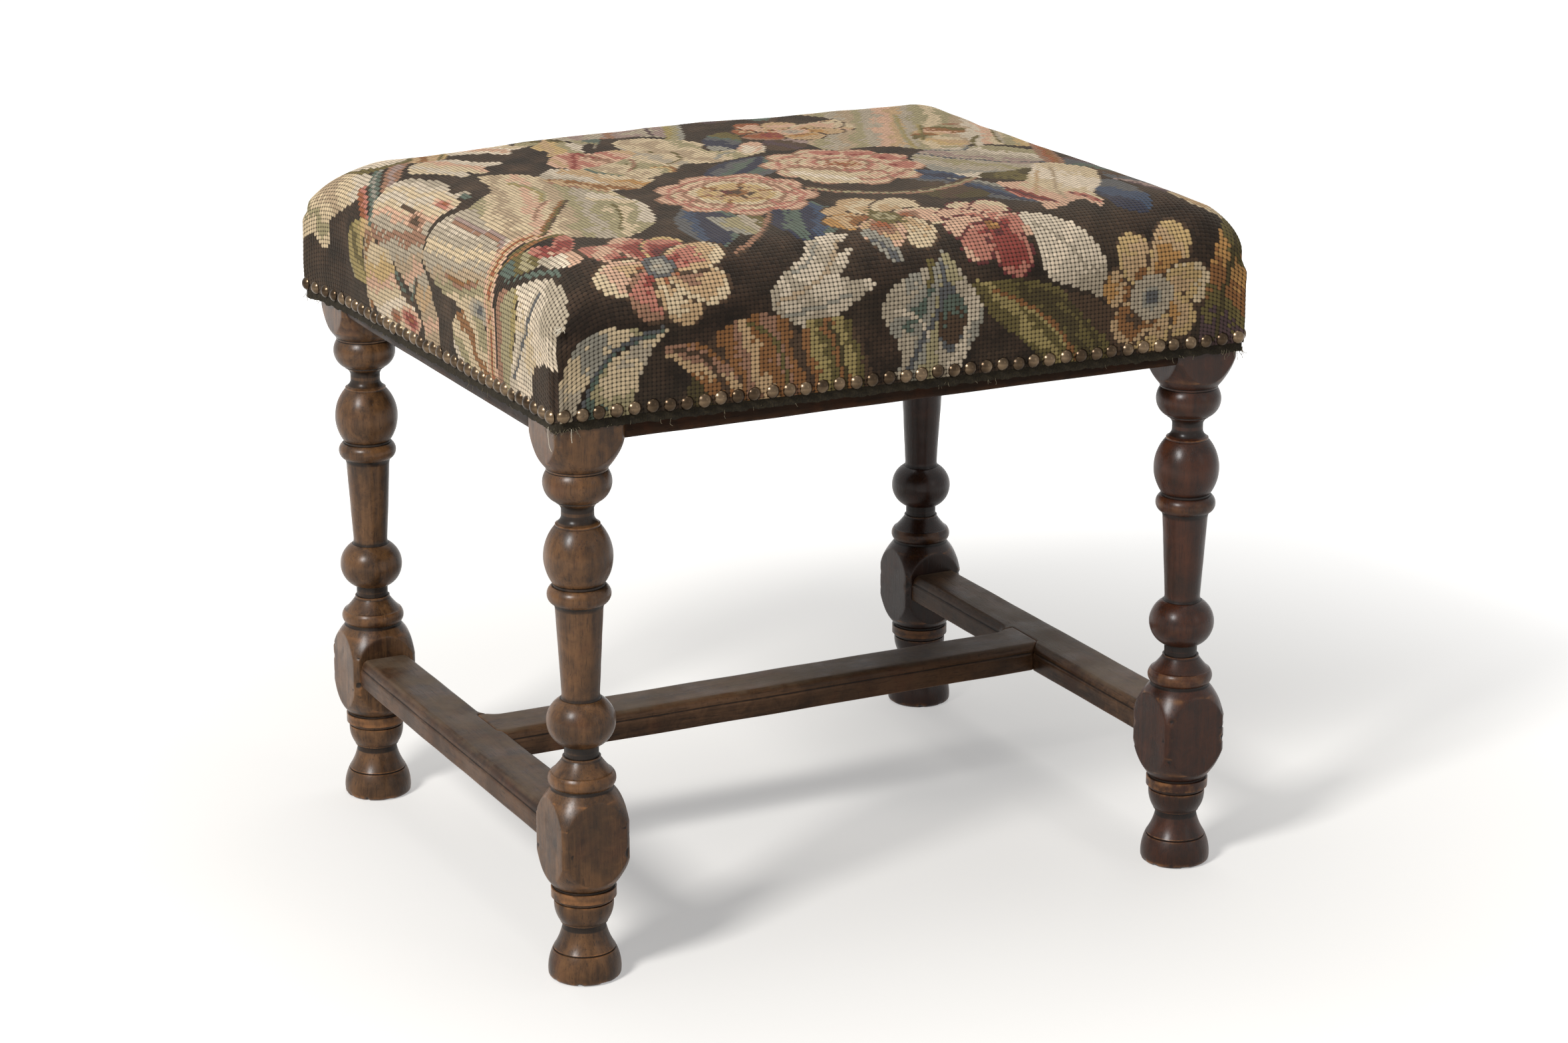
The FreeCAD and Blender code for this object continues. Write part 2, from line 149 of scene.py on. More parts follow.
class Graph:
    """Adds nodes to one tree and joins them."""

    def __init__(self, tree):
        self.tree = tree

    def node(self, kind, inputs=None, **settings):
        made = self.tree.nodes.new("ShaderNode" + kind)
        for name, value in settings.items():
            setattr(made, name, value)
        for name, value in (inputs or {}).items():
            if isinstance(value, bpy.types.NodeSocket):
                self.tree.links.new(value, made.inputs[name])
            else:
                made.inputs[name].default_value = value
        return made

    def math(self, operation, first, second=0.0, clamp=False):
        return self.node("Math", {0: first, 1: second}, operation=operation, use_clamp=clamp).outputs[0]

    def vector(self, operation, first, second=(0.0, 0.0, 0.0)):
        return self.node("VectorMath", {0: first, 1: second}, operation=operation).outputs[0]

    def mix(self, share, first, second, blend="MIX"):
        made = self.node("Mix", {0: share, 6: first, 7: second}, data_type="RGBA", blend_type=blend)
        return made.outputs[2]

    def blend(self, share, first, second):
        """Mix of two numbers."""
        return self.node("Mix", {0: share, 2: first, 3: second}, data_type="FLOAT").outputs[0]

    def rise(self, value, start, end, low=0.0, high=1.0):
        """A number that goes smoothly from low to high as value goes from start to end."""
        made = self.node("MapRange", {0: value, 1: start, 2: end, 3: low, 4: high},
                         interpolation_type="SMOOTHSTEP")
        return made.outputs[0]

    def noise(self, place, scale, detail=3.0, roughness=0.5, distortion=0.0):
        made = self.node("TexNoise", {"Vector": place, "Scale": scale, "Detail": detail,
                                      "Roughness": roughness, "Distortion": distortion})
        return made.outputs[0]

    def group(self, tree, inputs):
        made = self.tree.nodes.new("ShaderNodeGroup")
        made.node_tree = tree
        for name, value in inputs.items():
            if isinstance(value, bpy.types.NodeSocket):
                self.tree.links.new(value, made.inputs[name])
            else:
                made.inputs[name].default_value = value
        return made.outputs


SOCKETS = {"colour": "NodeSocketColor", "number": "NodeSocketFloat", "vector": "NodeSocketVector"}


def effect(name, inputs, outputs, build):
    """A shared effect: a node group with named inputs and outputs, filled by build."""
    tree = bpy.data.node_groups.new(name, "ShaderNodeTree")
    for label, kind in inputs.items():
        tree.interface.new_socket(label, in_out="INPUT", socket_type=SOCKETS[kind])
    for label, kind in outputs.items():
        tree.interface.new_socket(label, in_out="OUTPUT", socket_type=SOCKETS[kind])
    entry = tree.nodes.new("NodeGroupInput")
    leaving = tree.nodes.new("NodeGroupOutput")
    for label, socket in build(Graph(tree), entry.outputs).items():
        tree.links.new(socket, leaving.inputs[label])
    return tree


def new_material(name):
    """An empty material with its graph and the shader that its surface shows."""
    material = bpy.data.materials.new(name)
    material.use_nodes = True
    graph = Graph(material.node_tree)
    shader = material.node_tree.nodes["Principled BSDF"]
    return material, graph, shader


def feed(graph, shader, **sockets):
    """Joins or sets the shader's sockets, named with underscores for spaces."""
    for label, value in sockets.items():
        socket = shader.inputs[label.replace("_", " ")]
        if isinstance(value, bpy.types.NodeSocket):
            graph.tree.links.new(value, socket)
        else:
            socket.default_value = value


def bump(graph, height, distance, strength=1.0):
    """Normal of a surface with that height, whose full range is a distance in metres."""
    made = graph.node("Bump", {"Height": height, "Distance": distance, "Strength": strength})
    return made.outputs["Normal"]


def place_of(graph):
    """Place on the stool, in metres."""
    return graph.node("NewGeometry").outputs["Position"]


# Effects that materials share

def build_timber(graph, given):
    """Long grain, broad figure and open pores."""
    along = graph.vector("MULTIPLY", given["Place"], given["Grain Squeeze"])
    figure = graph.noise(along, given["Figure Scale"], 4.0, 0.6, 1.2)
    streak = graph.noise(along, given["Streak Scale"], 3.0, 0.65, 0.4)
    pores = graph.noise(along, given["Pore Scale"], 2.0, 0.6)
    open_pores = graph.rise(pores, 0.56, 0.7)
    handled = graph.noise(given["Place"], 95.0, 6.0, 0.68, 0.8)
    tone = graph.rise(graph.blend(0.3, graph.blend(0.4, figure, streak), handled), 0.34, 0.62)
    colour = graph.mix(tone, given["Dark"], given["Light"])
    colour = graph.mix(graph.math("MULTIPLY", open_pores, 0.5), colour, given["Pore Colour"])
    height = graph.math("SUBTRACT", graph.math("MULTIPLY", streak, 0.5), open_pores)
    return {"Colour": colour, "Height": height, "Pores": open_pores}


timber = effect(
    "timber grain",
    {"Place": "vector", "Grain Squeeze": "vector", "Figure Scale": "number", "Streak Scale": "number",
     "Pore Scale": "number", "Dark": "colour", "Light": "colour", "Pore Colour": "colour"},
    {"Colour": "colour", "Height": "number", "Pores": "number"}, build_timber)


def build_rubbing(graph, given):
    """Where handling has worn the high places bare, and a darkening of the low ones that is partly dirt and partly
    painted shade.
    """
    patches = graph.noise(given["Place"], 90.0, 4.0, 0.6)
    uneven = graph.rise(patches, 0.36, 0.66, 0.0, 1.25)
    high = graph.rise(given["Relief"], 0.18, 0.55)
    low = graph.rise(graph.math("MULTIPLY", given["Relief"], -1.0), 0.0, 0.13)
    worn = graph.math("MULTIPLY", graph.math("MULTIPLY", high, uneven), given["Amount"], clamp=True)
    # The low places darken: partly dirt, partly painted shade in the quirks and coves.
    hollow_dirt_and_shade = graph.math("MULTIPLY", low, graph.rise(patches, 0.2, 0.6, 0.6, 1.1), clamp=True)
    return {"Worn": worn, "Hollow Dirt And Shade": hollow_dirt_and_shade}


rubbing = effect(
    "rubbed edges, hollow dirt and painted shade", {"Place": "vector", "Relief": "number", "Amount": "number"},
    {"Worn": "number", "Hollow Dirt And Shade": "number"}, build_rubbing)


def build_dust(graph, given):
    """Dull dust on faces that look up, thicker in patches."""
    upward = graph.node("SeparateXYZ", {0: given["Normal"]}).outputs[2]
    facing = graph.rise(upward, 0.55, 0.95)
    patches = graph.rise(graph.noise(given["Place"], 38.0, 5.0, 0.65), 0.3, 0.68)
    specks = graph.rise(graph.noise(given["Place"], 900.0, 2.0, 0.5), 0.6, 0.75)
    layer = graph.math("MULTIPLY_ADD", specks, 0.3)
    layer.node.inputs[2].default_value = 0.0
    mask = graph.math("ADD", graph.math("MULTIPLY", patches, 0.85), layer)
    dusty = graph.math("MULTIPLY", graph.math("MULTIPLY", mask, facing), given["Amount"], clamp=True)
    return {"Dust": dusty}


dust = effect("settled dust", {"Place": "vector", "Normal": "vector", "Amount": "number"},
              {"Dust": "number"}, build_dust)


def build_weave(graph, given):
    """Plain weave: threads over and under one another, with gaps at the crossings."""
    parts = graph.node("SeparateXYZ", {0: given["Threads"]}).outputs
    across = graph.math("COSINE", graph.math("MULTIPLY", parts[0], math.tau))
    along = graph.math("COSINE", graph.math("MULTIPLY", parts[1], math.tau))
    half = graph.math("MULTIPLY", parts[0], math.pi)
    over = graph.math("MULTIPLY", graph.math("COSINE", half),
                      graph.math("COSINE", graph.math("MULTIPLY", parts[1], math.pi)))
    threads = graph.math("MAXIMUM", graph.math("ADD", across, over), graph.math("SUBTRACT", along, over))
    height = graph.rise(threads, -1.6, 1.6)
    slubs = graph.noise(given["Threads"], 0.7, 3.0, 0.6)
    return {"Height": height, "Gap": graph.rise(height, 0.45, 0.15), "Slub": slubs}


weave = effect("plain weave", {"Threads": "vector"},
               {"Height": "number", "Gap": "number", "Slub": "number"}, build_weave)


def build_stitch(graph, given):
    """Slanting wool stitches with a hole at each corner of the canvas, with masks where painted shade darkens the holes
    and the stitch edges.
    """
    cell = graph.vector("FRACTION", given["Stitches"])
    parts = graph.node("SeparateXYZ", {0: graph.vector("SUBTRACT", cell, (0.5, 0.5, 0.0))}).outputs
    from_x = graph.math("ABSOLUTE", parts[0])
    from_y = graph.math("ABSOLUTE", parts[1])
    corner = graph.math("MULTIPLY", graph.rise(from_x, 0.16, 0.44), graph.rise(from_y, 0.16, 0.44))
    edge = graph.math("MAXIMUM", graph.rise(from_x, 0.3, 0.5), graph.rise(from_y, 0.3, 0.5))
    slant = graph.math("ADD", parts[0], parts[1])
    strands = graph.math("COSINE", graph.math("MULTIPLY", graph.math("SUBTRACT", parts[0], parts[1]), 22.0))
    plump = graph.math("SUBTRACT", 1.0, graph.math("MULTIPLY", graph.math("ABSOLUTE", slant), 0.5))
    height = graph.math("ADD", graph.math("MULTIPLY", plump, 0.5), graph.math("MULTIPLY", strands, 0.08))
    height = graph.math("SUBTRACT", height, graph.math("MAXIMUM", corner, graph.math("MULTIPLY", edge, 0.5)))
    fuzz = graph.noise(given["Stitches"], 3.4, 3.0, 0.7)
    return {"Hole": corner, "Edge": edge, "Height": graph.math("ADD", height, graph.math("MULTIPLY", fuzz, 0.3)),
            "Fuzz": fuzz}


stitching = effect("tent stitch", {"Stitches": "vector"},
                   {"Hole": "number", "Edge": "number", "Height": "number", "Fuzz": "number"}, build_stitch)


# Finishes

def shade(red, green, blue):
    """A colour as it looks on a screen, from 0 to 255, for a shader's own socket."""
    return tuple(channel_light(channel / 255) for channel in (red, green, blue)) + (1.0,)


def channel_light(value):
    return value / 12.92 if value <= 0.04045 else ((value + 0.055) / 1.055) ** 2.4


def walnut(name, squeeze, dark, light, worn_colour, wear=1.0, dust_amount=0.0, seed=0.0, shine=1.0):
    """Old waxed walnut: grain, rubbed high places, black in the quirks that is partly dirt and partly painted shade,
    dust where it settles.
    """
    material, graph, shader = new_material(name)
    place = graph.vector("ADD", place_of(graph), (seed, seed * 0.37, seed * 0.11))
    grain = graph.group(timber, {"Place": place, "Grain Squeeze": squeeze, "Figure Scale": 34.0,
                                 "Streak Scale": 210.0, "Pore Scale": 950.0, "Dark": dark,
                                 "Light": light, "Pore Colour": shade(22, 14, 10)})
    relief = graph.node("Attribute", attribute_name="relief").outputs["Fac"]
    rubbed = graph.group(rubbing, {"Place": place, "Relief": relief, "Amount": wear})
    mottle = graph.noise(place, 26.0, 5.0, 0.62)
    red = graph.math("MULTIPLY", graph.rise(mottle, 0.54, 0.7), 0.25)
    colour = graph.mix(red, grain["Colour"], shade(92, 52, 34))
    smoky = graph.math("MULTIPLY", graph.rise(graph.noise(place, 30.0, 3.0, 0.5), 0.44, 0.68), 0.5)
    colour = graph.mix(smoky, colour, shade(34, 24, 17))
    specks = graph.rise(graph.noise(place, 340.0, 4.0, 0.7), 0.6, 0.7)
    colour = graph.mix(graph.math("MULTIPLY", specks, 0.45), colour, shade(20, 13, 9))
    colour = graph.mix(graph.math("MULTIPLY", rubbed["Worn"], 0.55), colour, worn_colour)
    # Hollows go nearly black: dirt and painted shade.
    colour = graph.mix(graph.math("MULTIPLY", rubbed["Hollow Dirt And Shade"], 0.88), colour, shade(14, 9, 6))
    settled = graph.group(dust, {"Place": place, "Normal": graph.node("NewGeometry").outputs["Normal"],
                                 "Amount": dust_amount})["Dust"]
    colour = graph.mix(settled, colour, shade(110, 96, 80))
    scratches = graph.noise(graph.vector("MULTIPLY", place, squeeze), 620.0, 2.0, 0.5)
    roughness = graph.math("ADD", graph.rise(mottle, 0.3, 0.7, 0.3, 0.46),
                           graph.math("MULTIPLY", rubbed["Hollow Dirt And Shade"], 0.25))
    roughness = graph.math("ADD", roughness, graph.math("MULTIPLY", settled, 0.3), clamp=True)
    height = graph.math("ADD", grain["Height"], graph.math("MULTIPLY", scratches, 0.6))
    height = graph.math("ADD", height, graph.math("MULTIPLY", mottle, 3.0))
    feed(graph, shader, Base_Color=colour, Roughness=roughness, Normal=bump(graph, height, 0.00016, 0.7),
         Coat_Weight=0.3 * shine, Coat_Roughness=0.27, Specular_IOR_Level=0.05 + 0.08 * shine)
    return material


def needlework():
    """Wool tent stitch on canvas, in the thread colours stored with the piece, with painted shade in the canvas holes
    and along the stitch edges.
    """
    material, graph, shader = new_material("needlework")
    canvas = graph.node("UVMap", uv_map="canvas").outputs[0]
    stitch = graph.group(stitching, {"Stitches": canvas})
    threads = graph.node("Attribute", attribute_name="threads").outputs["Color"]
    place = place_of(graph)
    shift = graph.rise(stitch["Fuzz"], 0.25, 0.75, 0.82, 1.16)
    colour = graph.mix(1.0, threads, graph.node("CombineColor", {0: shift, 1: shift, 2: shift}).outputs[0],
                       "MULTIPLY")
    fading = graph.rise(graph.noise(place, 14.0, 4.0, 0.6), 0.35, 0.7)
    colour = graph.mix(graph.math("MULTIPLY", fading, 0.06), colour, shade(168, 150, 124))
    # Painted shade along the edges between stitches and in the canvas holes.
    colour = graph.mix(graph.math("MULTIPLY", stitch["Edge"], 0.42), colour, shade(36, 27, 22))
    colour = graph.mix(graph.math("MULTIPLY", stitch["Hole"], 0.9), colour, shade(20, 14, 11))
    feed(graph, shader, Base_Color=colour, Roughness=0.9, Specular_IOR_Level=0.15, Sheen_Weight=0.18,
         Sheen_Roughness=0.5, Sheen_Tint=shade(214, 200, 182),
         Normal=bump(graph, stitch["Height"], 0.0007, 0.7))
    return material


def woven(name, pitch, thread, gap_shade_and_stain, tint):
    """Plain woven cloth of a pitch in metres; tint is the colour of its odd threads, and the colour given before tint
    is both the painted shade in the gaps between threads and the colour of its stains.
    """
    material, graph, shader = new_material(name)
    place = place_of(graph)
    threads = graph.node("Mapping", {"Vector": place, "Scale": (1 / pitch, 1 / pitch, 1 / pitch)}).outputs[0]
    cloth = graph.group(weave, {"Threads": threads})
    colour = graph.mix(graph.rise(cloth["Slub"], 0.4, 0.65), thread, tint)
    # Painted shade in the gaps between threads.
    colour = graph.mix(graph.math("MULTIPLY", cloth["Gap"], 0.75), colour, gap_shade_and_stain)
    stain = graph.rise(graph.noise(place, 22.0, 4.0, 0.6), 0.5, 0.75)
    # Real stains darken towards the same colour as the painted shade.
    colour = graph.mix(graph.math("MULTIPLY", stain, 0.3), colour, gap_shade_and_stain)
    feed(graph, shader, Base_Color=colour, Roughness=0.92, Specular_IOR_Level=0.2,
         Normal=bump(graph, cloth["Height"], pitch * 0.35, 0.8))
    return material


def aged_brass():
    """Brass nail heads: yellow-brown with dark tarnish in small patches."""
    material, graph, shader = new_material("aged_brass")
    place = place_of(graph)
    patches = graph.noise(place, 420.0, 3.0, 0.6)
    each = graph.rise(graph.noise(place, 60.0, 1.0, 0.4), 0.35, 0.65)
    metal = graph.mix(each, shade(64, 52, 40), shade(108, 91, 72))
    tarnish = graph.rise(patches, 0.52, 0.76)
    colour = graph.mix(graph.math("MULTIPLY", tarnish, 0.5), metal, shade(36, 28, 21))
    feed(graph, shader, Base_Color=colour, Metallic=graph.rise(tarnish, 0.0, 1.0, 1.0, 0.8),
         Roughness=graph.rise(tarnish, 0.0, 1.0, 0.25, 0.4),
         Normal=bump(graph, patches, 0.00008, 0.4))
    return material


def hair():
    """Curled dark horsehair."""
    material, graph, shader = new_material("horsehair")
    place = place_of(graph)
    curls = graph.noise(place, 300.0, 4.0, 0.7, 4.0)
    colour = graph.mix(graph.rise(curls, 0.35, 0.65), shade(28, 20, 15), shade(96, 74, 54))
    feed(graph, shader, Base_Color=colour, Roughness=0.7, Normal=bump(graph, curls, 0.0015, 1.0))
    return material


along_z = (1.0, 1.0, 0.07)
along_x = (0.07, 1.0, 1.0)
along_y = (1.0, 0.07, 1.0)
tan_wear = shade(164, 112, 68)
leg_woods = {
    "leg_front_left": (shade(48, 32, 20), shade(114, 80, 50)),
    "leg_back_left": (shade(50, 34, 22), shade(118, 84, 54)),
    "leg_front_right": (shade(26, 14, 10), shade(70, 38, 23)),
    "leg_back_right": (shade(22, 12, 9), shade(52, 28, 18)),
}


# Turned legs

class Profile:
    """Outline of turned work from the floor up: heights and radii, with arcs worked out."""

    def __init__(self, radius, height=0.0, step=0.9):
        self.rows = [(height, radius)]
        self.step = step

    def to(self, radius, height):
        """Straight to a radius at a height."""
        z, r = self.rows[-1]
        pieces = max(1, round(math.hypot(height - z, radius - r) / self.step / 2))
        for piece in range(1, pieces + 1):
            share = piece / pieces
            self.rows.append((z + (height - z) * share, r + (radius - r) * share))
        return self

    def bend(self, through, radius, height, share=0.5):
        """Along the arc that passes a radius at a share of its rise."""
        z, r = self.rows[-1]
        middle = complex(z + (height - z) * share, through)
        start, end = complex(z, r), complex(height, radius)
        centre = arc_centre(start, middle, end)
        turn = [np.angle((there - centre) / (start - centre)) for there in (middle, end)]
        if turn[0] * turn[1] < 0:
            turn[1] += math.tau if turn[0] > 0 else -math.tau
        pieces = max(4, round(abs(turn[1]) * abs(start - centre) / self.step))
        for piece in range(1, pieces + 1):
            spot = centre + (start - centre) * np.exp(1j * turn[1] * piece / pieces)
            self.rows.append((spot.real, spot.imag))
        return self


def arc_centre(start, middle, end):
    """Centre of the circle through three points."""
    share = (end - start) / (middle - start)
    return start + (middle - start) * (share - abs(share) ** 2) / (2j * share.imag)


def turned_outline():
    """The leg's profile and the heights between which its section is square."""
    lower_block = (67.2, 138.2)
    upper_block = (364.0, rail_top)
    corner = 33.3
    line = Profile(22.6)
    line.to(23.4, 0.5).bend(24.7, 25.2, 2.6).bend(24.9, 22.1, 20.2)
    line.to(21.2, 20.4).to(21.2, 21.2).to(21.6, 21.4).bend(17.6, 15.2, 36.6).to(15.2, 40.2)
    line.to(16.6, 40.4).to(16.6, 41.6).to(17.2, 41.8).bend(19.7, 20.6, 56.0, 0.4)
    line.to(19.7, 56.4).to(19.7, 56.9).to(20.7, 57.2).to(20.7, 58.0).to(21.3, 58.9).to(22.5, 59.1)
    line.to(22.5, 65.8).to(21.0, 66.0).to(21.0, lower_block[0])
    line.bend(27.5, corner, lower_block[0] + 22, 0.4).to(corner, lower_block[1] - 22)
    line.bend(27.5, 21.0, lower_block[1], 0.6).to(21.0, 139.6)
    line.to(21.7, 139.8).bend(23.5, 21.7, 149.2).to(21.0, 149.4).bend(16.7, 13.2, 158.8)
    line.to(13.2, 160.3).to(11.9, 160.5).to(11.9, 169.0)
    line.to(14.4, 169.2).bend(23.6, 14.4, 201.6).to(13.6, 201.7).bend(13.0, 12.9, 206.0)
    line.to(16.3, 265.0).bend(16.7, 17.9, 269.5).to(18.6, 269.7).bend(21.7, 18.6, 281.7)
    line.to(17.6, 281.9).to(17.6, 283.3).bend(23.6, 15.6, 323.4, 0.49)
    line.to(15.3, 323.6).to(15.3, 324.9).bend(12.3, 11.2, 329.9).to(11.2, 335.4).bend(12.4, 15.3, 340.4)
    line.to(15.3, 341.9).to(17.6, 342.1).bend(23.4, 20.3, 362.6, 0.62)
    line.to(21.0, 362.8).to(21.0, upper_block[0])
    line.bend(27.5, corner, upper_block[0] + 22, 0.4).to(corner, upper_block[1])
    return np.array(line.rows), (lower_block, upper_block)


flat_shares = np.array([0.0, 0.3, 0.6, 0.8, 0.92, 0.98])
arris_shares = np.array([0.0, 0.03, 0.12, 0.3, 0.55, 0.8])
arris_softness = 0.28


def section_angles(radius):
    """Angles round one ring, crowded where a round shoulder meets the flats of the block."""
    eighth = math.pi / 4
    even = np.arange(12) * eighth / 12
    reach = math.acos(min(1.0, half_block / radius))
    meeting = np.concatenate([flat_shares * reach, reach + arris_shares * (eighth - reach)])
    share = min(1.0, max(0.0, (radius - half_block) / 0.6))
    half = even * (1 - share) + meeting * share
    side = np.concatenate([half, [eighth], (eighth * 2 - half)[:0:-1]])
    return np.concatenate([side + math.pi / 2 * quarter for quarter in range(4)])


def section_radii(angles, radius, squared):
    """Distance of one ring's points from the axis, square where squared, its arrises soft."""
    if not squared:
        return np.full_like(angles, radius)
    from_side = np.abs((angles + math.pi / 4) % (math.pi / 2) - math.pi / 4)
    flat = half_block / np.cos(from_side)
    return -arris_softness * np.logaddexp(-radius / arris_softness, -flat / arris_softness)


def turned_leg(name, centre, seed):
    """One leg with its turned members, blocks, dents and worn arrises."""
    rows, blocks = turned_outline()
    points = []
    for height, radius in rows:
        squared = any(low <= height <= high for low, high in blocks)
        angles = section_angles(radius) if squared else np.arange(96) * math.tau / 96
        reach = section_radii(angles, radius, squared)
        points += [(r * math.cos(a), r * math.sin(a), height) for r, a in zip(reach, angles)]
    points = np.array(points)
    outward = points * (1, 1, 0) / np.hypot(points[:, 0], points[:, 1])[:, None]
    broad = wander(points, 60.0, 0.35, seed)
    small = wander(points, 9.0, 0.12, seed + 5)
    nicks = np.array([noise.noise(Vector(point) / (5.0, 5.0, 9.0)[0] + Vector((seed, 0, 9)))
                      for point in points])
    reach = np.hypot(points[:, 0], points[:, 1])
    on_arris = np.clip((reach - 31.0) / 2.0, 0, 1) * (points[:, 2] < 340)
    on_sole = np.clip(1 - points[:, 2] / 5.0, 0, 1)
    chipped = np.clip(nicks - 0.18, 0, 1) * (2.6 * on_arris + 2.2 * on_sole)
    points = points + broad * (1, 1, 0) + outward * (small[:, :1] - chipped[:, None])
    points[:, 2] = np.maximum(points[:, 2] + np.clip(nicks - 0.2, 0, 1) * on_sole * 2.0, 0)
    columns = 96
    faces = grid_faces(len(rows), columns, closed=True)
    faces.append(tuple(range(columns))[::-1])
    faces.append(tuple(range(len(points) - columns, len(points))))
    points = points + (centre[0], centre[1], 0)
    dark, light = leg_woods[name]
    material = walnut(name + "_walnut", along_z, dark, light, tan_wear, 1.0, 0.0, seed)
    piece = new_piece(name + "_turned", points, faces, material, [name], 34.0)
    store_relief(piece.data, 6)
    return piece


for number, (across, along) in enumerate([(-1, -1), (-1, 1), (1, -1), (1, 1)]):
    label = f"leg_{'front' if along < 0 else 'back'}_{'left' if across < 0 else 'right'}"
    turned_leg(label, (across * leg_centre_x, along * leg_centre_y), 1.0 + number)


# Rails and stretchers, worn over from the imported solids

def worn_copy(node, name, material, voxel, rounds, relief_rounds=6):
    """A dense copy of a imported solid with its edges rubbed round."""
    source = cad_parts[node]
    copy = bpy.data.objects.new("raw", source.data.copy())
    bpy.context.scene.collection.objects.link(copy)
    remesh = copy.modifiers.new("cut", "REMESH")
    remesh.mode = "VOXEL"
    remesh.voxel_size = voxel * millimetre
    smooth = copy.modifiers.new("rub", "SMOOTH")
    smooth.factor = 0.5
    smooth.iterations = rounds
    solved = copy.evaluated_get(bpy.context.evaluated_depsgraph_get())
    mesh = bpy.data.meshes.new_from_object(solved)
    bpy.data.objects.remove(copy)
    place = np.zeros(len(mesh.vertices) * 3)
    mesh.vertices.foreach_get("co", place)
    place = place.reshape(-1, 3)
    place += wander(place / millimetre, 45.0, 0.3, len(name)) * millimetre
    mesh.vertices.foreach_set("co", place.ravel())
    piece = finish_piece(name, mesh, material, [node], 60.0)
    store_relief(piece.data, relief_rounds)
    return piece


stretcher_dark, stretcher_light = shade(44, 30, 21), shade(98, 71, 50)
for node, squeeze, seed in (("side_stretcher_left", along_y, 11.0), ("side_stretcher_right", along_y, 12.0),
                            ("centre_stretcher", along_x, 13.0)):
    wood = walnut(node + "_walnut", squeeze, stretcher_dark, stretcher_light, shade(136, 92, 60),
                  0.9, 0.8, seed, 0.35)
    worn_copy(node, node + "_worn", wood, 0.9, 3)
for node, squeeze, seed in (("seat_rail_front", along_x, 15.0), ("seat_rail_back", along_x, 16.0),
                            ("seat_rail_left", along_y, 17.0), ("seat_rail_right", along_y, 18.0)):
    wood = walnut(node + "_walnut", squeeze, shade(28, 19, 13), shade(52, 35, 24), shade(96, 64, 40),
                  0.5, 0.0, seed, 0.0)
    worn_copy(node, node + "_worn", wood, 1.6, 2)


# Form of the seat: canvas millimetres to the surface of the cushion

edge_width = 50.0
edge_rise = 42.0
edge_foot = 8.0
half_stitches_x = 83
half_stitches_y = 76
fold_reach = 46.0
core_x = seat_half_x - edge_width
core_y = seat_half_y - edge_width
stitch_x = (core_x + fold_reach) / half_stitches_x
stitch_y = (core_y + fold_reach) / half_stitches_y
ring_reach = fold_reach * math.sqrt(2)
roll_angles = np.linspace(0, math.pi / 2, 90)
roll_out = edge_width * np.sin(roll_angles)
roll_down = edge_rise * (1 - np.cos(roll_angles))
roll_length = np.concatenate([[0], np.cumsum(np.hypot(np.diff(roll_out), np.diff(roll_down)))])
fold_wrap = 2.5
crown_foot = rail_top + edge_foot + edge_rise
crown_rise = seat_top - crown_foot
corner_drops = np.array([edge_rise, edge_rise + 8, edge_rise + 40, edge_rise + 62])
corner_radii = np.array([18.0, 9.0, 9.0, 5.0])
belly_drop = 82.0
hem_tuck = 1.2
nail_line = 402.0
canvas_below_nails = 4.0


def hem_slope(x, y):
    """How much higher the nails and hem sit at a place than on average, as they were nailed."""
    return -2.5 * np.clip(x / seat_half_x, -1, 1) - 2.5 * np.clip(y / seat_half_y, -1, 1)


def corner_push(x, y):
    """How far the folded cloth inside each corner pushes the cover out there, along X and Y."""
    near = np.clip(1 - (seat_half_x - np.abs(x)) / 70, 0, 1) * np.clip(1 - (seat_half_y - np.abs(y)) / 70, 0, 1)
    bulk = np.where(x < 0, np.where(y > 0, 13.0, 1.5), np.where(y > 0, 6.0, 3.5))
    push = bulk * near ** 1.4 * 0.7
    return np.stack([push * np.sign(x), push * np.sign(y)], -1)


def roll_fullness(x, y, down):
    """How much fuller the shoulder of the edge is on the right, and how far the back edge is lifted."""
    shoulder = np.clip((x - core_x) / edge_width, 0, 1) * np.clip(down / 12, 0, 1)
    shoulder = shoulder * np.clip((edge_rise + 4 - down) / 34, 0, 1)
    full = shoulder * (3.0 + 3.2 * np.clip(-y / seat_half_y, 0, 1))
    lift = 1.6 * np.clip((y - 110) / 60, 0, 1) * (1 - 1.9 * np.clip((-x - 60) / 150, 0, 1))
    return full * 0.8, full * 0.7 + lift * np.clip(1 - down / edge_rise, 0, 1)


def flap_end(u, v):
    """How far down its edge the needlework goes, from where the seat turns over."""
    hang = crown_foot - nail_line + canvas_below_nails - hem_slope(u, v)
    return roll_length[-1] + hang - edge_rise


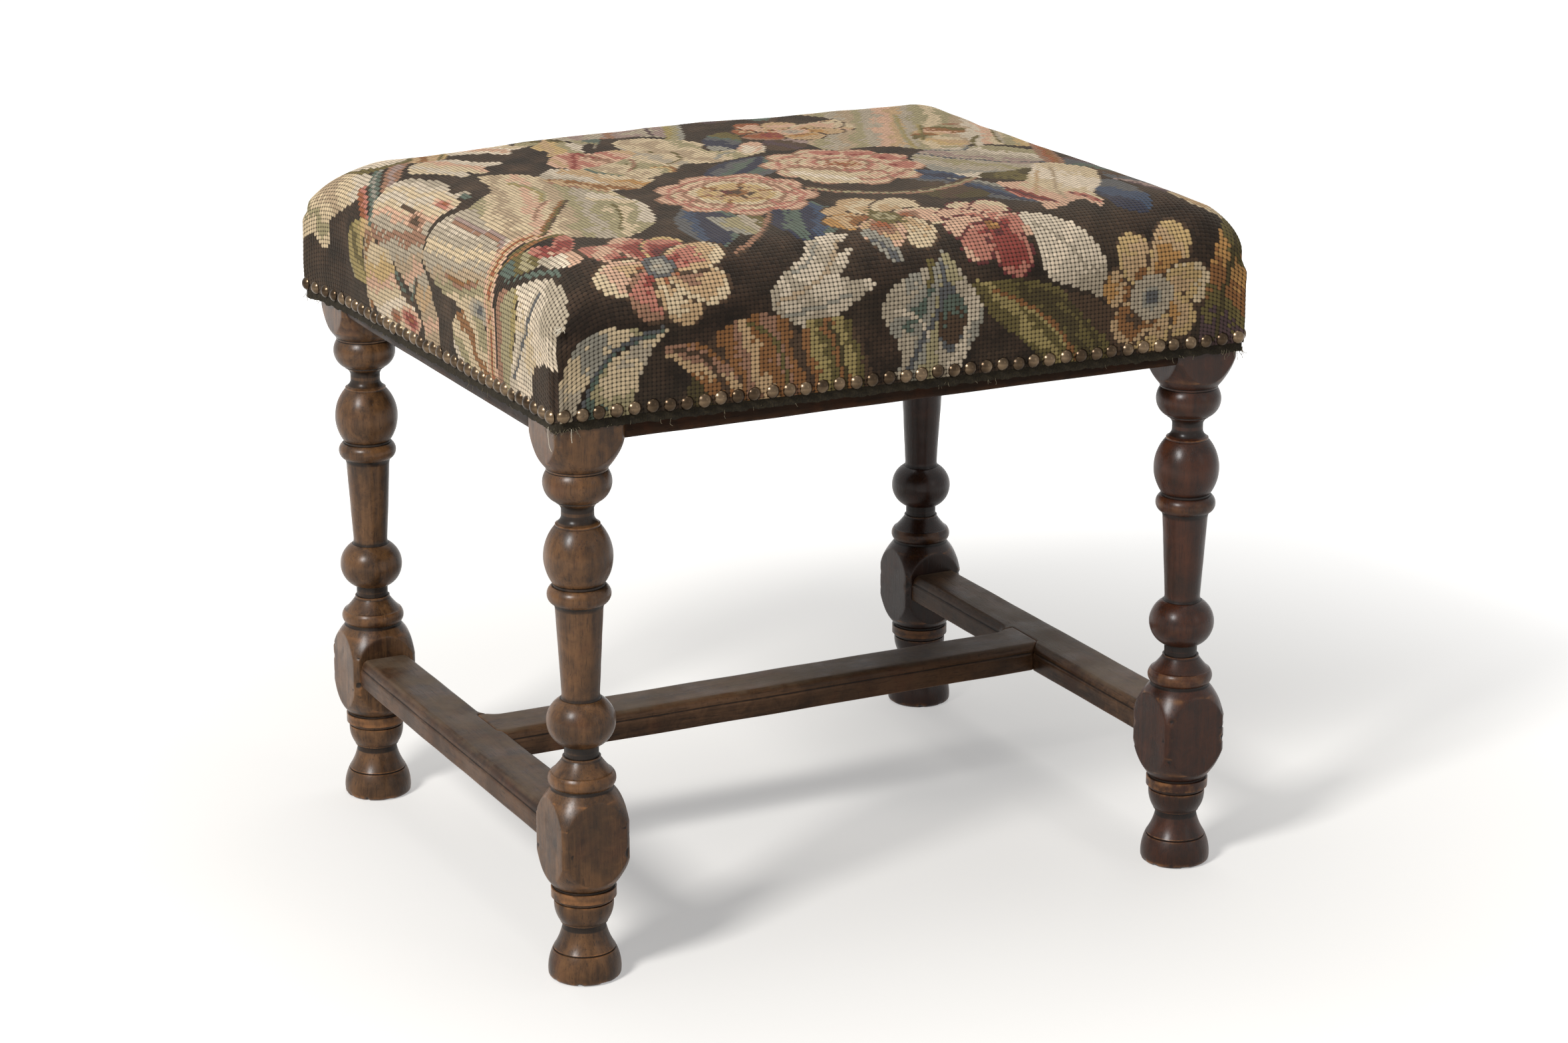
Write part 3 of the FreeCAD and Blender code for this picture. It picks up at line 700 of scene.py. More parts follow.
def seat_surface(u, v):
    """Places on the cushion for places on the flat canvas, both in millimetres."""
    over_x = np.maximum(np.abs(u) - core_x, 0)
    over_y = np.maximum(np.abs(v) - core_y, 0)
    long_side = over_y >= over_x
    small = np.minimum(np.where(long_side, over_x, over_y), fold_reach)
    large = np.where(long_side, over_y, over_x)
    straight = np.hypot(over_x, over_y)
    folded = straight > ring_reach
    depth = np.where(folded, large + ring_reach - np.sqrt(ring_reach ** 2 - small ** 2), straight)
    share = np.where(folded, small / fold_reach, small / np.maximum(depth, 1e-6) * math.sqrt(2))
    depth = np.minimum(depth, flap_end(u, v))
    out = np.interp(depth, roll_length, roll_out)
    down = np.interp(depth, roll_length, roll_down) + np.maximum(depth - roll_length[-1], 0)
    out = out - hem_tuck * np.clip((down - belly_drop) / 22, 0, 1)
    rounded = np.interp(down, corner_drops, corner_radii)
    corner = np.where(down < edge_rise - 0.1, out * (1 - 0.64 * out / edge_width), rounded)
    eighth = (out - corner) + corner * math.pi / 4
    wrap = fold_wrap * np.clip((depth - ring_reach) / 25.0, 0, 1)
    run = share * (eighth + np.where(long_side, -wrap, wrap))
    past = run > eighth
    run = np.where(past, 2 * eighth - run, run)
    turn = np.maximum(run - (out - corner), 0) / np.maximum(corner, 1e-6)
    beside = np.where(run <= out - corner, run, out - corner + corner * np.sin(turn))
    ahead = np.where(run <= out - corner, out, out - corner + corner * np.cos(turn))
    facing = long_side != past
    x = np.minimum(np.abs(u), core_x) + np.where(facing, beside, ahead)
    y = np.minimum(np.abs(v), core_y) + np.where(facing, ahead, beside)
    dome = crown_rise * (1 - np.minimum(np.abs(u) / seat_half_x, 1) ** 2)
    dome = dome * (1 - np.minimum(np.abs(v) / seat_half_y, 1) ** 2)
    height = crown_foot - down + dome * np.clip(1 - down / edge_rise, 0, 1)
    x, y = x * np.sign(u), y * np.sign(v)
    push = corner_push(x, y) * np.clip(down / 34, 0, 1)[..., None]
    wider, higher = roll_fullness(x, y, down)
    return np.stack([x + push[..., 0] + wider, y + push[..., 1], height + higher], -1), depth


def surface_normals(u, v):
    """Outward directions of the cushion at places on the canvas."""
    step = 0.5
    ahead = seat_surface(u + step, v)[0] - seat_surface(u - step, v)[0]
    beside = seat_surface(u, v + step)[0] - seat_surface(u, v - step)[0]
    normal = np.cross(ahead, beside)
    return normal / np.maximum(np.linalg.norm(normal, axis=-1, keepdims=True), 1e-9)


# Needlework

threads = {
    "ground": (44, 35, 28), "cream": (208, 193, 160), "ivory": (224, 213, 190), "beige": (178, 161, 133),
    "sand": (192, 166, 128), "blush": (208, 174, 148), "rose": (180, 122, 106), "madder": (136, 66, 60),
    "wine": (94, 46, 48), "straw": (196, 172, 122), "gold": (180, 140, 86), "ochre": (140, 100, 62),
    "rust": (152, 94, 64), "sage": (160, 154, 120), "moss": (104, 96, 58), "olive": (74, 67, 42),
    "teal": (88, 104, 94), "mist": (150, 150, 138), "silver": (176, 168, 148), "slate": (90, 94, 96),
    "navy": (46, 52, 70), "blue": (62, 78, 100), "plum": (80, 64, 68), "stem": (152, 118, 96),
    "pearl": (206, 197, 176), "fern": (160, 148, 98), "mauve": (158, 140, 132), "umber": (78, 62, 48),
}


class Embroidery:
    """Stitches of the canvas and the thread that each one has."""

    def __init__(self, u, v):
        self.u, self.v = u, v
        speckle = draw.random(u.shape) - 0.5
        drift = sum(np.roll(speckle, (x, y), (0, 1)) for x in range(-2, 3) for y in range(-2, 3)) / 5
        self.stray = speckle * 0.5 + drift * 0.8
        self.colour = np.array(threads["ground"]) * (1.06 + 0.7 * self.stray)[..., None]

    def fill(self, inside, shares, shades):
        """Stitches inside a shape with threads from a list, by a share from 0 to 1."""
        loose = shares + self.stray / len(shades)
        pick = np.clip((loose * len(shades)).astype(int), 0, len(shades) - 1)
        table = np.array([threads[name] for name in shades], float)
        self.colour[inside] = table[pick[inside]]

    def outline(self, corners):
        """Which stitches lie in a rounded outline through some corners."""
        closed = smooth_loop(corners)
        inside = np.zeros(self.u.shape, bool)
        for (x0, y0), (x1, y1) in zip(closed, np.roll(closed, -1, 0)):
            crosses = (y0 > self.v) != (y1 > self.v)
            at = x0 + (self.v - y0) * (x1 - x0) / (y1 - y0 if y1 != y0 else 1e-9)
            inside ^= crosses & (self.u < at)
        return inside

    def patch(self, corners, start, end, shades):
        """A shape whose threads change from one point towards another."""
        ahead = np.subtract(end, start)
        share = ((self.u - start[0]) * ahead[0] + (self.v - start[1]) * ahead[1]) / (ahead @ ahead)
        self.fill(self.outline(corners), np.clip(share, 0, 0.999), shades)

    def petal(self, base, tip, width, shades, blunt=0.5):
        """A petal from its base to its round tip, shaded from the inside to the rim."""
        ahead = np.subtract(tip, base)
        length = math.hypot(*ahead)
        ahead = ahead / length
        along = ((self.u - base[0]) * ahead[0] + (self.v - base[1]) * ahead[1]) / length
        across = ((self.v - base[1]) * ahead[0] - (self.u - base[0]) * ahead[1]) / (width / 2)
        form = np.sqrt(np.clip(along, 0, 1)) * np.clip(1 - along, 0, 1) ** blunt
        form = form / (0.5 ** 0.5 * 0.5 ** blunt)
        inside = (along > 0) & (along < 1) & (np.abs(across) < form)
        rim = np.maximum(along, np.abs(across) / np.maximum(form, 1e-6) * 0.9)
        self.fill(inside, np.clip(rim, 0, 0.999), shades)

    def leaf(self, base, tip, width, bow, lower, upper, vein="ground", vein_width=2.0):
        """A pointed leaf, bowed to one side, with a vein and its own threads on each side."""
        ahead = np.subtract(tip, base)
        length = math.hypot(*ahead)
        ahead = ahead / length
        along = ((self.u - base[0]) * ahead[0] + (self.v - base[1]) * ahead[1]) / length
        across = (self.v - base[1]) * ahead[0] - (self.u - base[0]) * ahead[1]
        bent = across - bow * 4 * np.clip(along, 0, 1) * np.clip(1 - along, 0, 1)
        form = width / 2 * np.sin(math.pi * np.clip(along, 0, 1) ** 0.85)
        inside = (along > 0) & (along < 1) & (np.abs(bent) < form)
        rim = np.clip(np.abs(bent) / np.maximum(form, 1e-6), 0, 0.999)
        self.fill(inside & (bent < 0), rim, lower)
        self.fill(inside & (bent >= 0), rim, upper)
        self.fill(inside & (np.abs(bent) < vein_width * (1 - 0.6 * along)), rim, [vein])

    def stem(self, route, width, shades):
        """A stalk along a smooth route, its threads lying side by side."""
        line = smooth_line(route)
        nearest = np.full(self.u.shape, 1e9)
        side = np.zeros(self.u.shape)
        for (x0, y0), (x1, y1) in zip(line[:-1], line[1:]):
            dx, dy = x1 - x0, y1 - y0
            share = np.clip(((self.u - x0) * dx + (self.v - y0) * dy) / (dx * dx + dy * dy + 1e-9), 0, 1)
            away_x, away_y = self.u - x0 - share * dx, self.v - y0 - share * dy
            away = np.hypot(away_x, away_y)
            closer = away < nearest
            nearest = np.where(closer, away, nearest)
            side = np.where(closer, np.sign(dx * away_y - dy * away_x) * away, side)
        self.fill(nearest < width / 2, np.clip(side / width + 0.5, 0, 0.999), shades)

    def spot(self, centre, width, height, shades):
        """A round or oval spot, shaded from its centre."""
        away = np.hypot((self.u - centre[0]) * 2 / width, (self.v - centre[1]) * 2 / height)
        self.fill(away < 1, np.clip(away, 0, 0.999), shades)


def smooth_line(route, closed=False, steps=5):
    """Points along a smooth curve through some points."""
    route = np.array(route, float)
    if closed:
        ring = np.concatenate([route[-1:], route, route[:2]])
    else:
        ring = np.concatenate([route[:1], route, route[-1:]])
    line = []
    for before, start, end, after in zip(ring[:-3], ring[1:-2], ring[2:-1], ring[3:]):
        for step in range(steps):
            t = step / steps
            line.append(0.5 * (2 * start + (end - before) * t + (2 * before - 5 * start + 4 * end - after) * t * t
                               + (3 * start - before - 3 * end + after) * t ** 3))
    if not closed:
        line.append(route[-1])
    return np.array(line)


def smooth_loop(corners):
    return smooth_line(corners, closed=True)


def bloom(work, centre, petals, heart, heart_size, edge):
    """A flower: petals given as angle, length, width and threads, and a round heart."""
    for angle, length, width, shades in petals:
        way = np.array([math.cos(math.radians(angle)), math.sin(math.radians(angle))])
        base = np.array(centre) + way * heart_size * 0.2
        work.petal(base - way * 1.5, np.array(centre) + way * (length + 1.6), width + 3.0, [edge])
        work.petal(base, np.array(centre) + way * length, width, shades)
    work.spot(centre, heart_size, heart_size, heart)


def peony(work, centre, rings):
    """A double flower: ruffled rings of petals, each given as half width, half height, lobes and turn."""
    angle = np.arctan2(work.v - centre[1], work.u - centre[0])
    for (wide, high, lobes, turn, shades), inner in zip(rings, rings[1:] + [(1, 1, 1, 0, [])]):
        ruffle = np.abs(np.sin(angle * lobes / 2 + turn))
        away = np.hypot((work.u - centre[0]) / wide, (work.v - centre[1]) / high)
        edge = 0.84 + 0.16 * ruffle
        start = 0.8 * inner[0] / wide
        work.fill(away < edge + 0.04, away * 0, ["stem"])
        share = (away - start) / (edge - start)
        work.fill(away < edge, np.clip(share * (0.7 + 0.3 * ruffle), 0, 0.999), shades)
        seam = (ruffle < 0.22) & (away < edge) & (away > start)
        work.fill(seam, away * 0, [shades[0]])


def back_left_petals(work):
    """Pale petals and stalks of the top's back left quarter."""
    work.patch([(-302, 244), (-297, 214), (-300, 200), (-309, 192), (-307, 182), (-291, 182), (-283, 172),
                (-275, 162), (-266, 151), (-250, 150), (-243, 164), (-246, 190), (-236, 212), (-214, 226),
                (-216, 250)], (-300, 226), (-236, 186),
               ["pearl", "cream", "sage", "cream", "beige", "cream", "pearl"])
    work.patch([(-216, 158), (-206, 180), (-196, 204), (-180, 214), (-164, 206), (-170, 190), (-179, 172),
                (-190, 157)], (-214, 190), (-172, 180), ["stem", "sand", "ochre", "sand", "straw"])
    work.stem([(-192, 156), (-180, 180), (-172, 206)], 3, ["moss"])
    work.stem([(-198, 214), (-212, 178), (-229, 148), (-247, 119)], 14, ["stem", "mauve", "stem"])
    work.stem([(-238, 162), (-251, 140), (-262, 119), (-275, 106)], 9, ["teal", "mist", "teal"])
    work.stem([(-258, 152), (-268, 132), (-280, 113)], 9, ["rust", "rose"])
    work.stem([(-279, 117), (-288, 97)], 10, ["stem", "sand"])
    work.spot((-225, 189), 46, 58, ["moss"])
    work.spot((-224, 191), 37, 47, ["ivory", "ivory", "pearl"])
    work.patch([(-205, 154), (-215, 148), (-223, 138), (-227, 122), (-222, 108), (-214, 98), (-208, 88),
                (-203, 79), (-197, 83), (-194, 93), (-191, 83), (-184, 81), (-180, 92), (-178, 101),
                (-165, 103), (-162, 112), (-172, 123), (-178, 136), (-182, 148), (-192, 155)],
               (-226, 110), (-166, 130), ["cream", "pearl", "cream", "blush", "pearl", "ivory"])
    work.patch([(-198, 214), (-186, 230), (-160, 238), (-130, 236), (-110, 226), (-130, 219), (-150, 211),
                (-168, 206), (-182, 210)], (-190, 212), (-116, 232), ["beige", "cream", "sand", "cream"])
    work.patch([(-167, 203), (-150, 208), (-130, 212), (-114, 211), (-114, 200), (-122, 190), (-126, 175),
                (-118, 164), (-123, 157), (-135, 155), (-139, 145), (-143, 136), (-150, 146), (-152, 156),
                (-160, 159), (-166, 166), (-177, 172), (-174, 186)], (-174, 168), (-120, 202),
               ["pearl", "ivory", "blush", "ivory", "cream", "pearl", "cream"])
    work.stem([(-170, 203), (-150, 210), (-130, 216), (-106, 222)], 5, ["umber"])
    work.patch([(-122, 112), (-117, 126), (-121, 142), (-118, 156), (-108, 166), (-100, 178), (-94, 190),
                (-88, 202), (-70, 214), (-46, 219), (-58, 206), (-78, 196), (-88, 180), (-90, 160), (-84, 146),
                (-88, 126), (-94, 112), (-106, 104)], (-120, 150), (-84, 140),
               ["straw", "sand", "straw", "sage", "pearl"])
    work.spot((-92, 172), 10, 22, ["olive", "moss"])
    work.patch([(-122, 168), (-120, 186), (-112, 200), (-100, 204), (-98, 190), (-104, 174), (-112, 160)],
               (-122, 180), (-100, 190), ["sage", "moss", "olive"])
    work.patch([(-86, 150), (-84, 170), (-72, 172), (-62, 160), (-66, 146), (-78, 128), (-86, 114)],
               (-88, 140), (-64, 150), ["silver", "sage", "teal"])
    work.patch([(-88, 166), (-90, 190), (-76, 200), (-50, 201), (-30, 204), (-10, 204), (10, 201), (13, 190),
                (6, 166), (-4, 142), (-14, 134), (-25, 146), (-38, 152), (-52, 153), (-66, 160), (-78, 162)],
               (-90, 184), (10, 166), ["silver", "mauve", "silver", "stem", "mauve", "silver", "mauve", "silver"])
    work.stem([(-56, 158), (-50, 176), (-40, 200)], 4, ["stem", "mauve"])
    work.stem([(-22, 148), (-16, 172), (-8, 200)], 3, ["plum"])
    work.stem([(-12, 128), (0, 158), (10, 186), (22, 216)], 14, ["mist", "sage", "fern"])


def left_petals(work):
    """Pale petals and leaves of the left flap and the top beside it, from back to front."""
    work.stem([(-336, 106), (-310, 114), (-288, 108)], 9, ["ochre", "beige"])
    work.patch([(-323, 116), (-323, 134), (-315, 146), (-300, 150), (-287, 146), (-279, 135), (-276, 120),
                (-284, 115), (-300, 119), (-314, 115)], (-322, 150), (-282, 116),
               ["sage", "fern", "fern", "moss", "fern", "straw"])
    work.patch([(-326, 112), (-310, 113), (-297, 110), (-289, 100), (-286, 84), (-289, 68), (-298, 58),
                (-308, 46), (-316, 30), (-322, 18), (-331, 12), (-341, 24), (-348, 60), (-342, 88), (-333, 102)],
               (-344, 60), (-287, 80), ["cream", "ivory", "cream", "blush", "straw", "cream"])
    work.patch([(-298, 56), (-286, 70), (-276, 60), (-271, 30), (-276, 8), (-284, 4), (-296, -9), (-308, -17),
                (-320, -26), (-350, -24), (-350, 2), (-330, 4), (-316, 16), (-308, 34)], (-344, 0), (-272, 20),
               ["beige", "blush", "beige", "sand", "silver", "blush", "beige", "silver"])
    work.stem([(-303, 57), (-315, 38), (-313, 24), (-301, 18)], 6, ["umber", "teal"])
    work.spot((-334, 57), 10, 20, ["rust", "stem"])
    work.spot((-330, 28), 18, 38, ["rust", "madder", "rose", "blush"])
    work.patch([(-277, 106), (-262, 118), (-245, 121), (-232, 111), (-228, 96), (-221, 80), (-221, 66),
                (-226, 50), (-229, 40), (-219, 37), (-221, 24), (-229, 27), (-232, 15), (-240, 10), (-250, 15),
                (-262, 13), (-277, 10), (-282, 30), (-287, 60), (-286, 90)], (-288, 60), (-221, 70),
               ["silver", "stem", "silver", "blush", "cream", "pearl", "cream", "pearl", "silver"])
    work.spot((-254, 66), 5, 28, ["umber"])
    work.spot((-260, 42), 14, 32, ["umber", "stem", "blush"])
    work.spot((-240, 28), 9, 36, ["rust", "rose", "blush"])
    work.spot((-224, 24), 8, 14, ["teal"])
    work.patch([(-193, 74), (-176, 68), (-163, 58), (-158, 44), (-152, 16), (-138, 2), (-134, -26), (-132, -48),
                (-130, -72), (-136, -100), (-148, -126), (-166, -142), (-182, -150), (-205, -135), (-224, -122),
                (-238, -104), (-247, -80), (-244, -40), (-240, -12), (-226, 2), (-212, 16), (-202, 30), (-200, 50)],
               (-250, -56), (-132, -92), ["sage", "cream", "beige", "cream", "blush", "cream", "beige", "sage",
                                          "silver", "sage", "cream", "sage", "pearl"])
    work.patch([(-150, -20), (-140, -34), (-133, -58), (-140, -68), (-154, -62), (-158, -40)],
               (-156, -56), (-136, -40), ["sage", "cream", "pearl"])
    work.stem([(-174, -34), (-192, -62), (-210, -90), (-224, -112)], 6, ["ochre", "moss", "umber"])
    work.stem([(-184, -28), (-200, -50), (-214, -80)], 5, ["stem", "blush"])
    work.stem([(-150, -62), (-158, -92), (-174, -126)], 4, ["sage", "moss"])
    work.stem([(-184, 40), (-176, 6), (-186, -24)], 5, ["fern", "sage"])
    work.patch([(-282, 3), (-270, 7), (-255, 8), (-243, 2), (-232, -10), (-236, -30), (-240, -60), (-240, -95),
                (-252, -98), (-262, -104), (-276, -112), (-288, -112), (-300, -105), (-303, -80), (-298, -56),
                (-296, -35), (-290, -14)], (-302, -56), (-236, -46),
               ["cream", "sage", "beige", "silver", "cream", "silver", "pearl", "silver"])
    work.stem([(-246, -10), (-247, -45), (-243, -80), (-250, -97)], 6, ["stem", "mauve"])
    work.stem([(-283, -44), (-284, -70), (-279, -94)], 5, ["stem", "ochre"])
    work.spot((-295, -104), 16, 36, ["slate", "mist", "silver"])
    work.patch([(-305, -62), (-318, -52), (-332, -54), (-344, -68), (-350, -95), (-344, -114), (-322, -117),
                (-304, -110), (-299, -88)], (-346, -70), (-302, -100),
               ["pearl", "sage", "cream", "ochre", "cream", "sage"])
    work.patch([(-350, -134), (-300, -132), (-278, -132), (-267, -142), (-270, -157), (-290, -163),
                (-316, -157), (-350, -150)], (-300, -134), (-300, -160), ["stem", "sage", "sage", "fern"])
    work.stem([(-352, -124), (-320, -122), (-290, -120), (-266, -110), (-248, -104), (-230, -106)], 15,
              ["blush", "sand", "rust", "sand", "blush"])
    work.stem([(-262, -120), (-240, -118), (-214, -122)], 7, ["ochre", "moss"])
    work.patch([(-264, -122), (-246, -122), (-238, -132), (-236, -150), (-246, -160), (-262, -144)],
               (-264, -130), (-238, -140), ["teal", "moss", "sage", "moss"])
    work.patch([(-350, -150), (-320, -156), (-300, -163), (-278, -164), (-266, -148), (-257, -162), (-249, -190),
                (-249, -216), (-262, -228), (-286, -224), (-300, -207), (-314, -192), (-332, -188), (-350, -172)],
               (-344, -160), (-256, -210), ["pearl", "ivory", "pearl", "cream", "ivory", "pearl", "silver"])
    work.stem([(-328, -160), (-306, -172), (-288, -182), (-266, -184)], 5, ["slate", "silver"])
    work.stem([(-265, -122), (-269, -140), (-257, -162), (-246, -188)], 8, ["ground", "teal"])
    work.patch([(-247, -153), (-228, -153), (-223, -168), (-222, -181), (-236, -187), (-246, -172)],
               (-247, -160), (-222, -172), ["silver", "pearl", "ivory", "blush"])
    work.petal((-234, -160), (-240, -127), 15, ["blush", "madder", "rose"])
    work.petal((-230, -164), (-214, -122), 15, ["rose", "madder", "rose"])


def pale_leaves(work):
    """Large grey, cream and green leaves of the right half, that lie under its flowers."""
    work.patch([(70, 26), (62, 50), (72, 76), (92, 90), (100, 100), (126, 100), (132, 150), (116, 190),
                (124, 226), (160, 244), (262, 250), (268, 60), (246, -12), (214, 0), (196, 6), (176, 12),
                (158, -4), (134, 0), (116, 22), (94, 30)], (84, 130), (262, 40),
               ["sage", "beige", "sage", "silver", "beige", "sage", "silver", "blush", "sand", "silver", "sage",
                "cream", "sage", "beige", "pearl", "blush", "cream", "sage", "straw", "cream", "silver"])
    work.patch([(96, 98), (104, 126), (114, 145), (131, 148), (133, 126), (128, 106), (114, 96)],
               (98, 120), (132, 120), ["ochre", "sand", "blush", "sand", "cream"])
    work.patch([(146, 44), (162, 54), (182, 58), (200, 64), (208, 80), (198, 94), (182, 96), (166, 82), (154, 64)],
               (150, 50), (204, 90), ["moss", "ochre", "sand", "blush", "ochre", "moss"])
    work.patch([(144, 18), (148, 42), (166, 47), (180, 40), (178, 18), (160, 8)], (144, 20), (178, 40),
               ["cream", "straw", "sand", "cream"])
    work.stem([(178, 2), (186, 22), (200, 42)], 8, ["pearl", "moss"])
    work.stem([(150, 40), (170, 78), (186, 112)], 4, ["moss", "fern"])
    work.stem([(204, 14), (222, 56), (244, 104), (262, 140)], 5, ["silver", "moss"])
    work.stem([(128, 12), (144, 56), (162, 96), (186, 150)], 4, ["fern", "sage"])
    work.spot((210, 104), 16, 8, ["ochre", "stem"])
    work.patch([(100, -52), (106, -24), (128, -2), (160, 4), (200, -2), (213, -26), (206, -54), (190, -62),
                (172, -80), (150, -88), (128, -100), (112, -94)], (112, -86), (186, 0),
               ["pearl", "mist", "silver", "sage", "silver", "mauve", "silver", "pearl", "sage"])
    work.stem([(122, -12), (136, -30), (160, -43), (198, -56)], 8, ["slate", "mauve", "silver"])
    work.stem([(132, 0), (156, -8), (170, 6)], 4, ["slate", "mist"])
    work.patch([(130, -86), (150, -84), (176, -76), (168, -96), (152, -113), (134, -109), (122, -99)],
               (126, -96), (172, -90), ["olive", "moss", "olive"])
    work.patch([(206, -60), (232, -44), (262, -40), (306, -60), (318, -120), (300, -190), (262, -206),
                (232, -180), (218, -140), (214, -96)], (214, -180), (290, -60),
               ["slate", "plum", "mauve", "slate", "umber", "teal", "slate", "plum", "mist"])
    work.stem([(250, -60), (246, -110), (258, -180)], 6, ["plum", "navy"])
    work.stem([(276, -56), (282, -120), (276, -184)], 4, ["mauve"])
    work.stem([(262, 52), (240, 22), (222, -14), (206, -60)], 15, ["stem", "rust", "ochre", "stem"])
    work.patch([(262, 20), (290, 30), (318, 80), (298, 140), (262, 150)], (262, 60), (312, 90),
               ["silver", "cream", "stem", "pearl", "slate", "mist"])
    work.patch([(150, 244), (200, 240), (246, 236), (236, 268), (190, 284), (152, 268)], (150, 240), (236, 262),
               ["sage", "silver", "beige", "sage"])
    work.stem([(160, 240), (178, 262), (194, 280)], 4, ["moss"])


def dark_leaves(work):
    """Blue, teal and green leaves and the stalks between the flowers of the top."""
    work.leaf((-100, -88), (-138, -204), 46, 4, ["navy", "blue", "slate"], ["navy", "navy", "teal"], "navy")
    work.leaf((-26, -112), (-66, -212), 50, -5, ["teal", "navy"], ["navy", "blue", "teal"], "navy")
    work.patch([(-110, -128), (-96, -134), (-80, -132), (-72, -146), (-82, -166), (-98, -180), (-108, -168),
                (-112, -148)], (-112, -150), (-74, -150), ["mist", "sage", "silver", "moss"])
    work.stem([(-66, -138), (-78, -158), (-96, -182), (-122, -202)], 5, ["stem", "umber"])
    work.leaf((8, 26), (-70, -46), 50, 5, ["teal", "slate", "navy"], ["navy", "teal", "slate"], "navy")
    work.leaf((70, -58), (114, -108), 34, 2, ["blue", "slate"], ["navy", "blue"], "navy")
    work.leaf((96, -90), (128, -176), 38, -4, ["navy", "slate"], ["blue", "slate", "mist"], "navy")
    work.patch([(60, -116), (84, -112), (100, -122), (104, -146), (84, -152), (62, -142)], (62, -120), (100, -146),
               ["olive", "umber", "olive"])
    work.stem([(-6, -82), (14, -102), (46, -119), (84, -116), (114, -98)], 10, ["stem", "sage", "umber"])
    work.patch([(176, -190), (178, -164), (190, -146), (206, -126), (216, -134), (214, -160), (208, -192),
                (196, -204), (184, -200)], (178, -180), (214, -160), ["navy", "blue", "blue", "slate"])
    work.patch([(-12, 64), (-8, 86), (0, 108), (14, 124), (28, 132), (34, 120), (28, 100), (20, 82), (10, 67),
                (0, 59)], (-11, 84), (30, 100), ["mist", "navy", "navy", "slate", "teal", "moss"])
    work.patch([(24, 50), (34, 74), (46, 88), (62, 92), (72, 84), (66, 64), (54, 46), (36, 38)],
               (24, 60), (70, 70), ["umber", "plum", "umber", "mauve"])
    work.patch([(24, 196), (46, 206), (60, 196), (58, 178), (44, 168), (26, 176)], (24, 190), (60, 180),
               ["umber", "plum", "umber"])
    work.patch([(64, 212), (90, 216), (104, 200), (98, 176), (84, 160), (70, 176)], (64, 200), (100, 180),
               ["umber", "slate", "teal", "umber"])
    work.patch([(48, 222), (64, 236), (94, 236), (84, 220), (62, 216)], (50, 224), (90, 230), ["navy", "blue"])
    work.patch([(86, 206), (98, 232), (124, 240), (120, 214), (104, 200)], (90, 210), (120, 230),
               ["rust", "sand", "rose"])


